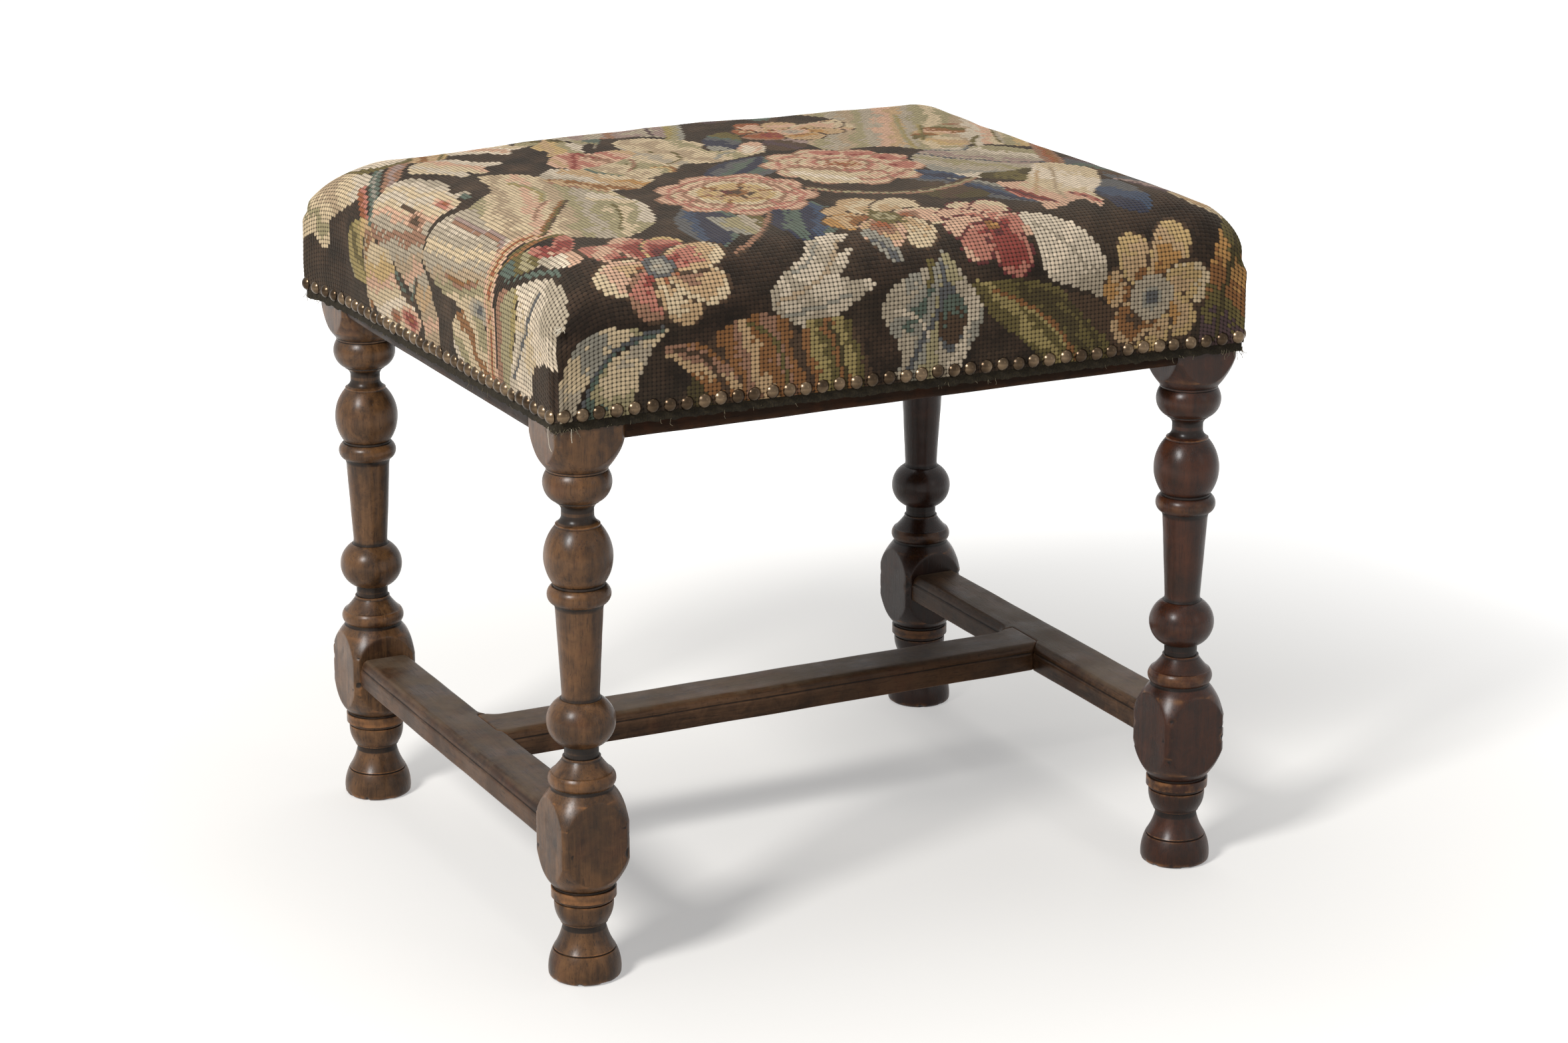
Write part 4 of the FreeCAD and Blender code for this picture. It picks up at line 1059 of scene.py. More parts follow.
def top_flowers(work):
    """Roses, tulips and blossoms of the top."""
    work.patch([(-64, 128), (-56, 140), (-42, 144), (-30, 140), (-20, 130), (-12, 122), (-6, 104), (-8, 88),
                (-16, 76), (-12, 62), (6, 58), (24, 78), (28, 62), (20, 42), (8, 34), (-8, 28), (-30, 24),
                (-52, 28), (-66, 14), (-88, 2), (-110, -10), (-130, -24), (-146, 0), (-158, 30), (-156, 52),
                (-140, 66), (-122, 58), (-112, 66), (-96, 74), (-80, 78), (-70, 92), (-66, 108)],
               (-160, 40), (20, 72), ["silver", "pearl", "sand", "cream", "beige", "cream", "sage", "cream", "silver",
                                      "cream", "beige", "cream", "sage", "cream", "pearl"])
    work.patch([(-160, 34), (-148, 26), (-138, 8), (-128, -6), (-136, -26), (-148, -8), (-158, 10)],
               (-158, 0), (-134, 10), ["stem", "sand", "ochre", "sand"])
    work.patch([(-126, 0), (-110, 4), (-92, -4), (-100, -16), (-114, -26), (-128, -20)], (-128, -20), (-96, 0),
               ["ochre", "sand", "gold", "cream"])
    work.spot((-52, 86), 12, 20, ["moss", "beige"])
    work.stem([(-88, 56), (-82, 44), (-90, 32)], 4, ["moss", "sage"])
    work.stem([(-98, 26), (-84, 46), (-76, 70)], 3, ["stem"])
    work.stem([(-62, 34), (-44, 50), (-38, 78)], 4, ["beige", "moss"])
    work.stem([(-24, 34), (-14, 46), (-2, 52)], 4, ["mist"])
    work.stem([(-118, 54), (-116, 34), (-108, 18)], 6, ["teal", "sage"])
    work.stem([(-76, 30), (-66, 22), (-70, 12)], 6, ["straw", "ochre"])
    work.petal((4, 40), (29, 80), 18, ["ivory", "ivory", "blush"])
    work.patch([(-136, 84), (-128, 100), (-116, 113), (-104, 119), (-97, 110), (-84, 108), (-70, 107), (-62, 98),
                (-66, 84), (-78, 74), (-92, 66), (-108, 59), (-126, 60), (-136, 70)], (-136, 78), (-64, 90),
               ["blush", "sand", "blush", "rose", "blush", "stem", "blush", "rose", "blush", "sand"])
    work.stem([(-124, 60), (-115, 84), (-104, 110)], 9, ["rose", "madder", "rose"])
    work.stem([(-100, 112), (-97, 96), (-94, 88)], 4, ["madder", "stem"])
    work.stem([(-90, 110), (-86, 124), (-78, 138)], 8, ["ground"])
    peony(work, (-62, -76), [(56, 60, 9, 0.4, ["rose", "rose", "blush", "rose", "blush", "blush"]),
                             (44, 46, 7, 1.1, ["rose", "blush", "stem", "blush", "cream"]),
                             (33, 35, 6, 0.2, ["ochre", "sand", "straw", "cream", "cream"]),
                             (19, 20, 5, 0.9, ["umber", "ochre", "sand", "straw"])])
    work.spot((-66, -72), 7, 9, ["umber", "wine"])
    work.spot((-55, -84), 6, 5, ["umber"])
    peony(work, (48, -27), [(58, 62, 10, 0.2, ["stem", "blush", "rose", "blush", "cream", "blush"]),
                            (45, 48, 8, 1.3, ["rose", "blush", "cream", "blush", "cream"]),
                            (32, 34, 6, 0.5, ["stem", "rose", "blush", "cream"]),
                            (18, 20, 5, 1.5, ["rust", "sand", "blush", "cream"])])
    for turn in (-20, 15, 50, 78):
        way = np.array([math.cos(math.radians(turn)), math.sin(math.radians(turn))])
        work.petal(np.array([48, -27]) + way * 34, np.array([48, -27]) + way * 60, 26, ["madder", "rose", "rose", "blush"])
    work.patch([(0, -58), (4, -28), (18, -16), (34, -30), (40, -56), (34, -80), (16, -76)], (36, -28), (6, -60),
               ["blush", "stem", "cream", "cream", "ivory", "cream"])
    work.stem([(46, -8), (40, -22), (48, -34), (58, -28)], 3.5, ["rust", "stem"])
    bloom(work, (4, -174), [(135, 44, 34, ["umber", "ochre", "sand", "sand"]), (180, 46, 32, ["rust", "ochre", "sand", "gold"]),
                            (92, 52, 36, ["moss", "sand", "cream", "sand"]), (48, 52, 32, ["ochre", "sand", "cream", "cream"]),
                            (355, 52, 32, ["rust", "stem", "blush", "cream"]), (296, 42, 32, ["moss", "sand", "cream"]),
                            (240, 42, 32, ["rust", "stem", "sand", "blush"])],
          ["moss", "sage", "moss"], 24, "umber")
    work.patch([(185, -64), (200, -62), (213, -76), (219, -92), (214, -108), (204, -128), (190, -148), (178, -162),
                (172, -186), (165, -192), (158, -178), (140, -186), (124, -188), (128, -166), (124, -140),
                (126, -114), (136, -118), (150, -114), (160, -99), (172, -84)], (126, -130), (214, -90),
               ["blush", "cream", "ivory", "ivory", "cream"])
    work.leaf((124, -128), (140, -182), 16, -3, ["madder", "rose"], ["wine", "madder"], "wine", 1.0)
    work.leaf((160, -150), (168, -190), 12, 2, ["rose", "blush"], ["madder", "rose"], "wine", 1.0)
    work.stem([(194, -72), (180, -104), (160, -140), (150, -172)], 2.6, ["beige"])
    work.stem([(176, -86), (158, -116), (138, -150)], 2.6, ["sand"])
    bloom(work, (78, 114), [(160, 46, 34, ["rust", "rust", "sand", "rust"]), (204, 50, 34, ["rust", "madder", "rust", "stem"]),
                            (120, 50, 34, ["rust", "sand", "blush", "rust"]), (80, 46, 32, ["ochre", "sand", "blush", "sand"]),
                            (24, 56, 34, ["ochre", "sand", "blush", "cream"]), (330, 40, 30, ["ochre", "gold", "sand"]),
                            (270, 40, 30, ["ochre", "gold", "sand"])],
          ["mauve", "silver", "blush"], 26, "umber")


def tulip(work, base, tip, width, shades, inner, mark):
    """A tulip seen from the side: two outer petals, one inner and marks along their edges."""
    ahead = np.subtract(tip, base) / math.dist(tip, base)
    side = np.array([-ahead[1], ahead[0]])
    length = math.dist(tip, base)
    for hand in (-1, 1):
        outer_tip = np.array(tip) + side * hand * width * 0.36 + ahead * length * 0.04
        work.petal(np.array(base) - ahead * 3, outer_tip + ahead * 3, width * 0.66, ["ochre"], 0.45)
        work.petal(base, outer_tip, width * 0.6, shades, 0.45)
        work.stem([np.array(base) + ahead * length * 0.3 + side * hand * width * 0.1,
                   np.array(base) + ahead * length * 0.6 + side * hand * width * 0.22,
                   outer_tip - ahead * length * 0.08], 2.8, [mark])
    work.petal(np.array(base) + ahead * length * 0.1, np.array(tip) - ahead * length * 0.06, width * 0.5,
               [inner] + shades, 0.5)
    work.stem([np.array(base) + ahead * length * 0.3, np.array(tip) - ahead * length * 0.25], 2.6, ["beige"])


def front_flowers(work):
    """Leaves and flowers of the front flap, from left to right."""
    work.patch([(-262, -262), (-253, -246), (-247, -242), (-230, -242), (-215, -245), (-196, -249), (-212, -253),
                (-224, -258), (-238, -270), (-250, -286), (-258, -306), (-266, -306)], (-262, -290), (-200, -246),
               ["silver", "cream", "mist", "cream", "sage"])
    work.patch([(-184, -248), (-191, -257), (-200, -269), (-206, -283), (-214, -308), (-252, -308), (-246, -288),
                (-232, -270), (-216, -260), (-200, -252)], (-246, -300), (-188, -250),
               ["teal", "sage", "cream", "silver", "cream"])
    work.stem([(-188, -249), (-214, -256), (-234, -270), (-254, -306)], 4.5, ["slate", "teal"])
    bloom(work, (-179, -203), [(136, 56, 34, ["wine", "madder", "rose", "blush", "rose"]),
                               (98, 54, 32, ["wine", "madder", "madder", "rose", "blush"]),
                               (62, 50, 28, ["wine", "wine", "madder", "rose", "straw"]),
                               (192, 50, 32, ["rust", "sand", "blush", "cream"]),
                               (240, 44, 32, ["wine", "madder", "rose", "stem"]),
                               (286, 46, 32, ["rust", "sand", "cream", "sand"]),
                               (328, 50, 32, ["rust", "stem", "sand", "cream"]),
                               (14, 52, 30, ["madder", "rose", "sand", "cream"])],
          ["silver", "mist", "slate"], 22, "umber")
    work.patch([(-108, -236), (-106, -230), (-97, -222), (-85, -215), (-78, -212), (-72, -204), (-68, -197), (-57, -193),
                (-47, -191), (-36, -194), (-48, -204), (-58, -212), (-38, -208), (-46, -218), (-52, -228), (-28, -234),
                (-44, -245), (-55, -252), (-66, -258), (-85, -259), (-98, -252), (-106, -245)],
               (-106, -246), (-44, -208), ["silver", "pearl", "silver", "pearl", "pearl", "silver", "pearl"])
    work.stem([(-104, -240), (-82, -234), (-62, -222), (-46, -200)], 3, ["beige"])
    work.stem([(-96, -250), (-70, -246), (-50, -240)], 3, ["mist"])
    work.stem([(-90, -222), (-74, -214), (-62, -200)], 2.6, ["mist"])
    work.patch([(-26, -256), (-20, -243), (-8, -234), (8, -229), (20, -225), (28, -217), (35, -228), (42, -240),
                (50, -253), (54, -264), (50, -278), (42, -290), (32, -304), (0, -306), (-17, -300), (-10, -292),
                (-14, -276)], (-24, -260), (52, -280),
               ["silver", "mist", "silver", "mist", "sage", "silver", "pearl", "mist"])
    work.patch([(24, -238), (34, -248), (42, -262), (37, -278), (27, -290), (19, -276), (21, -256)],
               (20, -240), (34, -290), ["slate", "teal", "umber", "slate"])
    work.patch([(-6, -246), (8, -240), (16, -246), (12, -262), (0, -276), (-8, -268), (-14, -256)],
               (-12, -250), (12, -266), ["silver", "mist", "teal", "mist"])
    work.stem([(24, -226), (20, -256), (8, -276), (-4, -298)], 4, ["slate"])
    work.stem([(-16, -254), (2, -262), (12, -276)], 3, ["pearl"])
    work.patch([(-84, -260), (-70, -254), (-52, -256), (-42, -270), (-34, -290), (-33, -308), (-90, -308)],
               (-86, -290), (-36, -276), ["umber", "ochre", "fern", "moss", "ochre", "fern", "moss", "umber"])
    work.patch([(-168, -282), (-152, -258), (-126, -247), (-102, -249), (-88, -262), (-82, -284), (-84, -308),
                (-160, -308)], (-160, -296), (-84, -270),
               ["olive", "moss", "umber", "ochre", "stem", "sand", "ochre", "stem", "ochre", "umber"])
    work.patch([(-187, -265), (-176, -259), (-160, -262), (-146, -272), (-134, -286), (-126, -308), (-146, -308),
                (-164, -284)], (-150, -262), (-164, -300), ["ochre", "stem", "sand", "ochre", "umber"])
    work.stem([(-180, -264), (-156, -272), (-136, -306)], 3, ["umber"])
    work.stem([(-124, -252), (-104, -268), (-94, -304)], 3, ["moss"])
    work.stem([(-66, -258), (-56, -276), (-52, -308)], 3, ["olive"])
    bloom(work, (75, -200), [(105, 42, 28, ["rose", "blush", "cream"]), (68, 42, 26, ["rose", "blush", "cream"]),
                             (140, 40, 26, ["madder", "rose", "blush"]), (178, 36, 26, ["rose", "blush", "blush"]),
                             (222, 38, 26, ["madder", "rose", "rose", "blush"]), (355, 32, 24, ["madder", "rose", "blush"]),
                             (283, 42, 30, ["wine", "madder", "madder", "rose"])],
          ["gold", "ochre", "wine"], 12, "wine")
    work.patch([(45, -242), (60, -243), (80, -243), (105, -249), (120, -255), (140, -262), (151, -268), (159, -280),
                (164, -292), (160, -308), (106, -308), (93, -294), (80, -283), (66, -274), (56, -262)],
               (70, -290), (116, -246), ["olive", "moss", "fern", "moss", "olive", "moss", "umber"])
    work.stem([(62, -250), (86, -262), (110, -280), (128, -306)], 5, ["fern", "ochre"])
    work.stem([(92, -252), (122, -266), (146, -296)], 3, ["olive"])
    work.patch([(100, -192), (120, -195), (130, -202), (140, -212), (147, -225), (151, -240), (149, -263), (135, -257),
                (115, -250), (105, -243), (101, -230), (101, -214)], (102, -200), (148, -252),
               ["pearl", "pearl", "ivory", "pearl", "pearl", "silver"])
    work.stem([(106, -204), (124, -222), (142, -254)], 3, ["silver"])
    bloom(work, (188, -267), [(160, 40, 32, ["umber", "ochre", "sand", "gold"]), (112, 50, 30, ["ochre", "sand", "straw"]),
                              (64, 60, 30, ["ochre", "gold", "sand", "straw"]), (12, 48, 34, ["ochre", "sand", "straw", "cream"]),
                              (320, 42, 32, ["ochre", "gold", "sand", "straw"]), (268, 40, 34, ["ochre", "sand", "straw"]),
                              (226, 40, 30, ["umber", "ochre", "sand"])],
          ["slate", "mist", "silver", "silver"], 34, "umber")
    work.patch([(230, -306), (232, -262), (240, -226), (250, -204), (266, -198), (266, -308)], (232, -300), (262, -210),
               ["plum", "moss", "ochre", "gold", "moss"])
    work.stem([(240, -300), (248, -250), (258, -210)], 3.4, ["olive"])
    work.petal((236, -168), (250, -206), 20, ["beige", "sand", "cream"])
    work.petal((-6, -222), (-22, -190), 14, ["slate", "mist"])
    work.stem([(16, -224), (12, -240)], 4, ["moss"])


def back_and_right_flowers(work):
    """Flowers of the two flaps away from the front, of the same kinds."""
    bloom(work, (302, -150), [(0, 40, 30, ["madder", "rose", "blush"]), (60, 40, 30, ["rose", "blush", "cream"]),
                              (120, 36, 28, ["rose", "blush"]), (300, 40, 30, ["wine", "madder", "rose"]),
                              (240, 38, 28, ["madder", "rose", "blush"])], ["gold", "ochre", "wine"], 14, "wine")
    work.leaf((262, -96), (346, -70), 32, 4, ["moss", "sage", "beige"], ["olive", "moss"], "olive")
    tulip(work, (336, 2), (296, 60), 44, ["cream", "ivory", "cream"], "straw", "rose")
    work.leaf((346, -30), (290, 10), 26, 3, ["teal", "slate"], ["navy", "teal"], "navy")
    bloom(work, (306, 150), [(10, 40, 30, ["ochre", "gold", "straw"]), (75, 42, 30, ["gold", "straw", "cream"]),
                             (140, 40, 28, ["rust", "gold", "straw"]), (220, 38, 28, ["rust", "gold"]),
                             (300, 40, 30, ["gold", "straw", "cream"])], ["slate", "mist", "cream"], 24, "rust")
    work.leaf((346, 96), (290, 92), 26, 4, ["silver", "mist"], ["mist", "slate"], "slate")
    tulip(work, (-170, 306), (-186, 242), 46, ["straw", "cream", "ivory"], "gold", "madder")
    work.leaf((-130, 304), (-120, 236), 34, 4, ["moss", "sage"], ["olive", "moss"], "olive")
    bloom(work, (-66, 262), [(20, 40, 30, ["madder", "rose", "blush"]), (90, 42, 28, ["rose", "blush", "cream"]),
                             (150, 38, 28, ["madder", "rose"]), (215, 40, 30, ["wine", "madder", "rose"]),
                             (290, 42, 28, ["rose", "blush"])], ["gold", "ochre", "wine"], 13, "wine")
    work.leaf((-10, 304), (14, 232), 36, -4, ["teal", "slate", "mist"], ["navy", "slate"], "navy")
    tulip(work, (62, 304), (66, 240), 48, ["blush", "cream", "ivory"], "straw", "rose")
    work.leaf((112, 304), (104, 240), 30, 4, ["gold", "sand"], ["olive", "navy"], "navy")
    bloom(work, (176, 292), [(30, 44, 30, ["ochre", "gold", "straw"]), (95, 44, 30, ["gold", "straw", "cream"]),
                             (160, 42, 28, ["rust", "gold"]), (220, 38, 28, ["rust", "ochre"]),
                             (320, 42, 30, ["gold", "straw"])], ["slate", "mist", "cream"], 26, "rust")
    work.leaf((236, 300), (252, 232), 32, 3, ["silver", "cream"], ["sage", "silver"], "teal")
    work.leaf((-236, 300), (-246, 240), 30, 3, ["sage", "silver"], ["moss", "sage"], "moss")


def embroider(work):
    """The flowers and leaves of the whole cover, in canvas millimetres from its middle."""
    back_left_petals(work)
    left_petals(work)
    pale_leaves(work)
    dark_leaves(work)
    back_and_right_flowers(work)
    top_flowers(work)
    front_flowers(work)


def seat_stitches(sub):
    """Canvas coordinates of the grid lines, in halves of a stitch, and the places between."""
    longest = flap_end(seat_half_x, seat_half_y)
    count_x = math.ceil((core_x + longest) / stitch_x)
    count_y = math.ceil((core_y + longest) / stitch_y)
    lines_x = np.arange(-count_x * sub, count_x * sub + 1) * stitch_x / sub
    lines_y = np.arange(-count_y * sub, count_y * sub + 1) * stitch_y / sub
    return lines_x, lines_y, count_x, count_y


stitch_swell = 0.26
stitch_sink = 0.14
warmth = np.array([1.05, 1.01, 0.99])


def needlework_cover():
    """The cover as one sheet of stitches, its corners folded in under the front and back flaps."""
    sub = 2
    lines_x, lines_y, count_x, count_y = seat_stitches(sub)
    u, v = np.meshgrid(lines_x, lines_y, indexing="ij")
    places, depth = seat_surface(u, v)
    normals = surface_normals(u, v)
    odd_x = (np.arange(len(lines_x)) % sub)[:, None]
    odd_y = (np.arange(len(lines_y)) % sub)[None, :]
    swell = np.where(odd_x & odd_y, stitch_swell, np.where(odd_x | odd_y, 0.05, -stitch_sink))
    flat = places.reshape(-1, 3)
    lumps = (wander(flat, 70.0, 1.6, 3.0) + wander(flat, 24.0, 0.45, 4.0)).reshape(places.shape)
    puff = (lumps * normals).sum(-1)
    sure = np.clip(1.25 - (depth - 96.0) / 26.0, 0.1, 1)
    near_fold = np.clip(1 - (core_x + fold_reach - np.abs(u)) / 5.0, 0, 1) * (np.abs(v) > core_y + fold_reach - 1)
    lip = near_fold * 2.0 * np.clip((depth - ring_reach) / 20.0, 0, 1)
    places = places + normals * (swell + puff * sure + lip)[..., None]
    rows, columns = len(lines_x), len(lines_y)
    number = np.arange(rows * columns).reshape(rows, columns)
    middle_u = (u[:-1, :-1] + u[1:, 1:]) / 2
    middle_v = (v[:-1, :-1] + v[1:, 1:]) / 2
    kept = ~((np.abs(middle_u) > core_x + fold_reach) & (np.abs(middle_v) > core_y + fold_reach))
    highest = np.minimum(np.minimum(depth[:-1, :-1], depth[1:, 1:]), np.minimum(depth[:-1, 1:], depth[1:, :-1]))
    kept &= highest < flap_end(middle_u, middle_v) - 0.3
    quads = np.stack([number[:-1, :-1], number[1:, :-1], number[1:, 1:], number[:-1, 1:]], -1)[kept]
    used, faces = np.unique(quads, return_inverse=True)
    faces = faces.reshape(-1, 4)
    cell_x = (np.arange(2 * count_x) - count_x + 0.5) * stitch_x
    cell_y = (np.arange(2 * count_y) - count_y + 0.5) * stitch_y
    work = Embroidery(*np.meshgrid(cell_x, cell_y, indexing="ij"))
    embroider(work)
    tone = 1 + (draw.random(work.u.shape) - 0.5) * 0.11
    colour = np.array([[channel_light(min(1.0, part / 255)) for part in cell] for cell in
                       (work.colour * warmth * tone[..., None]).reshape(-1, 3)]).reshape(work.colour.shape)
    colour = np.repeat(np.repeat(colour, sub, 0), sub, 1)[kept]
    piece = new_piece("needlework_cover", places.reshape(-1, 3)[used], faces.tolist(), needlework(),
                      ["seat_cover"], 180.0)
    mesh = piece.data
    corners = mesh.color_attributes.new("threads", "FLOAT_COLOR", "CORNER")
    rgba = np.concatenate([np.repeat(colour, 4, 0), np.ones((len(colour) * 4, 1))], 1)
    corners.data.foreach_set("color", rgba.astype(np.float32).ravel())
    flat_u, flat_v = u.ravel()[used][faces].ravel(), v.ravel()[used][faces].ravel()
    canvas = mesh.uv_layers.new(name="canvas")
    canvas.uv.foreach_set("vector", np.stack([flat_u / stitch_x, flat_v / stitch_y], 1).astype(np.float32).ravel())
    spread = mesh.uv_layers.new(name="OFBake")
    across, along = flat_u / lines_x[-1] * 0.495 + 0.5, flat_v / lines_y[-1] * 0.495 + 0.5
    spread.uv.foreach_set("vector", np.stack([across, along], 1).astype(np.float32).ravel())
    canvas_hem()
    hem_threads()
    brass_nails()
    return piece


# Nails, canvas hem and loose threads

def seat_ring(inset, corner, spacing=2.0):
    """Places round the seat, in from its side by a distance, and the ways out from them."""
    half = np.array([seat_half_x - inset - corner, seat_half_y - inset - corner])
    counts = round(2 * seat_half_x / spacing), round(2 * seat_half_y / spacing)
    arcs = []
    for quarter, signs in enumerate(((1, 1), (-1, 1), (-1, -1), (1, -1))):
        angles = (quarter + np.linspace(0, 1, 7)) * math.pi / 2
        ways = np.stack([np.cos(angles), np.sin(angles)], 1)
        arcs.append((np.array(signs) * half + corner * ways, ways))
    places, outward = [], []
    for (arc, ways), (following, _), count in zip(arcs, arcs[1:] + arcs[:1], counts + counts):
        shares = np.linspace(0, 1, count, endpoint=False)[1:, None]
        places += [arc, arc[-1] + (following[0] - arc[-1]) * shares]
        outward += [ways, np.repeat(ways[-1:], len(shares), 0)]
    return np.concatenate(places), np.concatenate(outward)


def ring_sweep(section, spacing=2.0, follows=False):
    """A closed band round the seat; section gives inset, corner, and height and push at each place."""
    points = []
    for inset, corner, shape in section:
        places, outward = seat_ring(inset, corner, spacing)
        heights, push = shape(places, outward)
        moved = places + outward * push[:, None]
        if follows:
            moved += corner_push(places[:, 0], places[:, 1])
        points.append(np.column_stack([moved, heights]))
    columns = len(points[0])
    faces = grid_faces(len(points), columns, closed=True)
    last = (len(points) - 1) * columns
    faces += [(last + column, last + (column + 1) % columns, (column + 1) % columns, column)
              for column in range(columns)]
    return np.concatenate(points), faces


hem_drop = 10.6
hem_thickness = 0.6


def ragged(places, seed, size, strength):
    """Uneven height for each place round the seat."""
    return np.array([noise.noise(Vector((x / size, y / size, seed))) for x, y in places]) * strength


def canvas_hem():
    """Dark canvas edge that shows under the nails, its lower side ragged."""
    def row(share, side):
        def shape(places, outward):
            rise = hem_slope(places[:, 0], places[:, 1])
            lower = nail_line - hem_drop + ragged(places, 2.0, 7.0, 1.5) + ragged(places, 5.0, 1.7, 0.9)
            height = nail_line + (lower - nail_line) * share + rise
            wave = ragged(places, 9.0 + share, 11.0, 0.5) * share
            return height, side * hem_thickness / 2 + wave
        return hem_tuck + 0.8, 5.0, shape
    section = [row(share, 1) for share in (1.0, 0.75, 0.5, 0.25, 0.0)]
    section += [row(share, -1) for share in (0.0, 0.25, 0.5, 0.75, 1.0)]
    points, faces = ring_sweep(section, follows=True)
    return new_piece("canvas_hem", points, faces, woven("hem_canvas", 0.0009, shade(42, 37, 29), shade(20, 17, 13),
                                                        shade(58, 51, 38)))


def tube(route, radius, sides=5):
    """A round thread along a route, closed at both ends."""
    route = np.array(route, float)
    ahead = np.gradient(route, axis=0)
    ahead /= np.linalg.norm(ahead, axis=1, keepdims=True)
    side = np.cross(ahead, (0.31, 0.22, 0.92))
    side /= np.linalg.norm(side, axis=1, keepdims=True)
    up = np.cross(side, ahead)
    angles = np.arange(sides) * math.tau / sides
    rings = route[:, None] + radius * (np.cos(angles)[:, None] * up[:, None] + np.sin(angles)[:, None] * side[:, None])
    faces = grid_faces(len(route), sides, closed=True)
    faces.append(tuple(range(sides))[::-1])
    faces.append(tuple(range((len(route) - 1) * sides, len(route) * sides)))
    return rings.reshape(-1, 3), faces


def loose_thread(start, way, length, bend):
    """Route of a thread that leaves a point one way and curls and droops."""
    route = [np.array(start, float)]
    heading = np.array(way, float)
    for _ in range(7):
        heading = heading + draw.normal(0, bend, 3) + np.array([0, 0, -0.12])
        heading /= np.linalg.norm(heading)
        route.append(route[-1] + heading * length / 7)
    return route


def hem_threads():
    """Threads that have come loose from the canvas edge, most of them at the corners."""
    places, outward = seat_ring(hem_tuck + 0.3, 5.0)
    at_corner = (np.abs(places[:, 0]) > seat_half_x - 22) & (np.abs(places[:, 1]) > seat_half_y - 22)
    starts = np.concatenate([draw.choice(np.flatnonzero(at_corner), 70), draw.choice(len(places), 90)])
    parts = []
    for start in starts:
        x, y = places[start] + corner_push(*places[start])
        height = nail_line - hem_drop + hem_slope(x, y) + draw.uniform(0.5, 3.0)
        way = np.array([*outward[start] * 0.35, -1.0]) + draw.normal(0, 0.35, 3)
        length = min(2.0 + draw.exponential(2.2), 9.0)
        parts.append(tube(loose_thread((x, y, height), way, length, 0.3), 0.17))
    points, faces = joined(parts)
    material, graph, shader = new_material("loose_hem_threads")
    twist = graph.noise(place_of(graph), 900.0, 2.0)
    feed(graph, shader, Base_Color=graph.mix(twist, shade(66, 60, 46), shade(128, 116, 92)), Roughness=0.9)
    return new_piece("hem_threads", points, faces, material)


def wool_tuft():
    """A knot of pale wool at the top of the near fold and a long end that hangs from the hem."""
    parts = []
    knot = np.array([-seat_half_x + 4.0, -seat_half_y - 0.6, 466.0])
    for _ in range(22):
        way = np.array([-0.3, -0.9, 0.1]) + draw.normal(0, 0.6, 3)
        parts.append(tube(loose_thread(knot + draw.normal(0, 0.8, 3), way / np.linalg.norm(way),
                                       draw.uniform(2.0, 4.5), 0.45), 0.22))
    for spot, length in (((-seat_half_x - 0.4, -seat_half_y + 9, 399.0), 17.0),
                         ((-seat_half_x + 12, -seat_half_y - 0.5, 398.0), 9.0)):
        parts.append(tube(loose_thread(spot, (-0.1, -0.1, -1.0), length, 0.12), 0.2))
    points, faces = joined(parts)
    material, graph, shader = new_material("pale_wool")
    twist = graph.noise(place_of(graph), 1100.0, 2.0)
    feed(graph, shader, Base_Color=graph.mix(twist, shade(196, 184, 160), shade(228, 220, 204)), Roughness=0.95,
         Sheen_Weight=0.2)
    return new_piece("wool_tuft", points, faces, material)


nail_radius = 5.2
nail_height = 3.4
nail_sides = 18


def nail_head(centre, out, tilt, size):
    """One domed head with its rim in the cloth."""
    out = np.array(out) + tilt
    out = out / np.linalg.norm(out)
    side = np.cross(out, (0, 0, 1.0))
    side /= np.linalg.norm(side)
    up = np.cross(side, out)
    ball = (nail_radius ** 2 + nail_height ** 2) / (2 * nail_height)
    angles = np.arange(nail_sides) * math.tau / nail_sides
    circle = np.cos(angles)[:, None] * up + np.sin(angles)[:, None] * side
    rings = [(0.95, -0.7), (1.0, -0.35)]
    for share in (0.995, 0.96, 0.86, 0.7, 0.5, 0.28, 0.1):
        rings.append((share, (math.sqrt(ball ** 2 - (share * nail_radius) ** 2) - ball + nail_height)))
    points = np.concatenate([centre + out * height * size + circle * share * nail_radius * size
                             for share, height in rings])
    faces = grid_faces(len(rings), nail_sides, closed=True)
    faces.append(tuple(range(nail_sides))[::-1])
    faces.append(tuple(range((len(rings) - 1) * nail_sides, len(rings) * nail_sides)))
    return points, faces


def brass_nails():
    """Domed nails side by side round the seat, each a little off true."""
    parts = []
    for half, reach, count, way, out in ((seat_half_x, seat_half_y, 42, (1, 0), (0, -1)),
                                         (seat_half_y, seat_half_x, 35, (0, 1), (1, 0)),
                                         (seat_half_x, seat_half_y, 42, (-1, 0), (0, 1)),
                                         (seat_half_y, seat_half_x, 35, (0, -1), (-1, 0))):
        for along in np.linspace(-half + 7.6, half - 7.6, count):
            along += draw.normal(0, 0.28)
            place = np.array(way) * along + np.array(out) * (reach - hem_tuck + 0.35)
            place = place + corner_push(*place)
            height = nail_line + hem_slope(*place) + draw.normal(0, 0.32)
            tilt = np.array([*draw.normal(0, 0.07, 2), draw.normal(0, 0.07)])
            parts.append(nail_head(np.array([*place, height]), (*out, 0.0), tilt, draw.uniform(0.975, 1.02)))
    points, faces = joined(parts)
    return new_piece("brass_nails", points, faces, aged_brass())


# Webbing, hessian, edge roll and hair

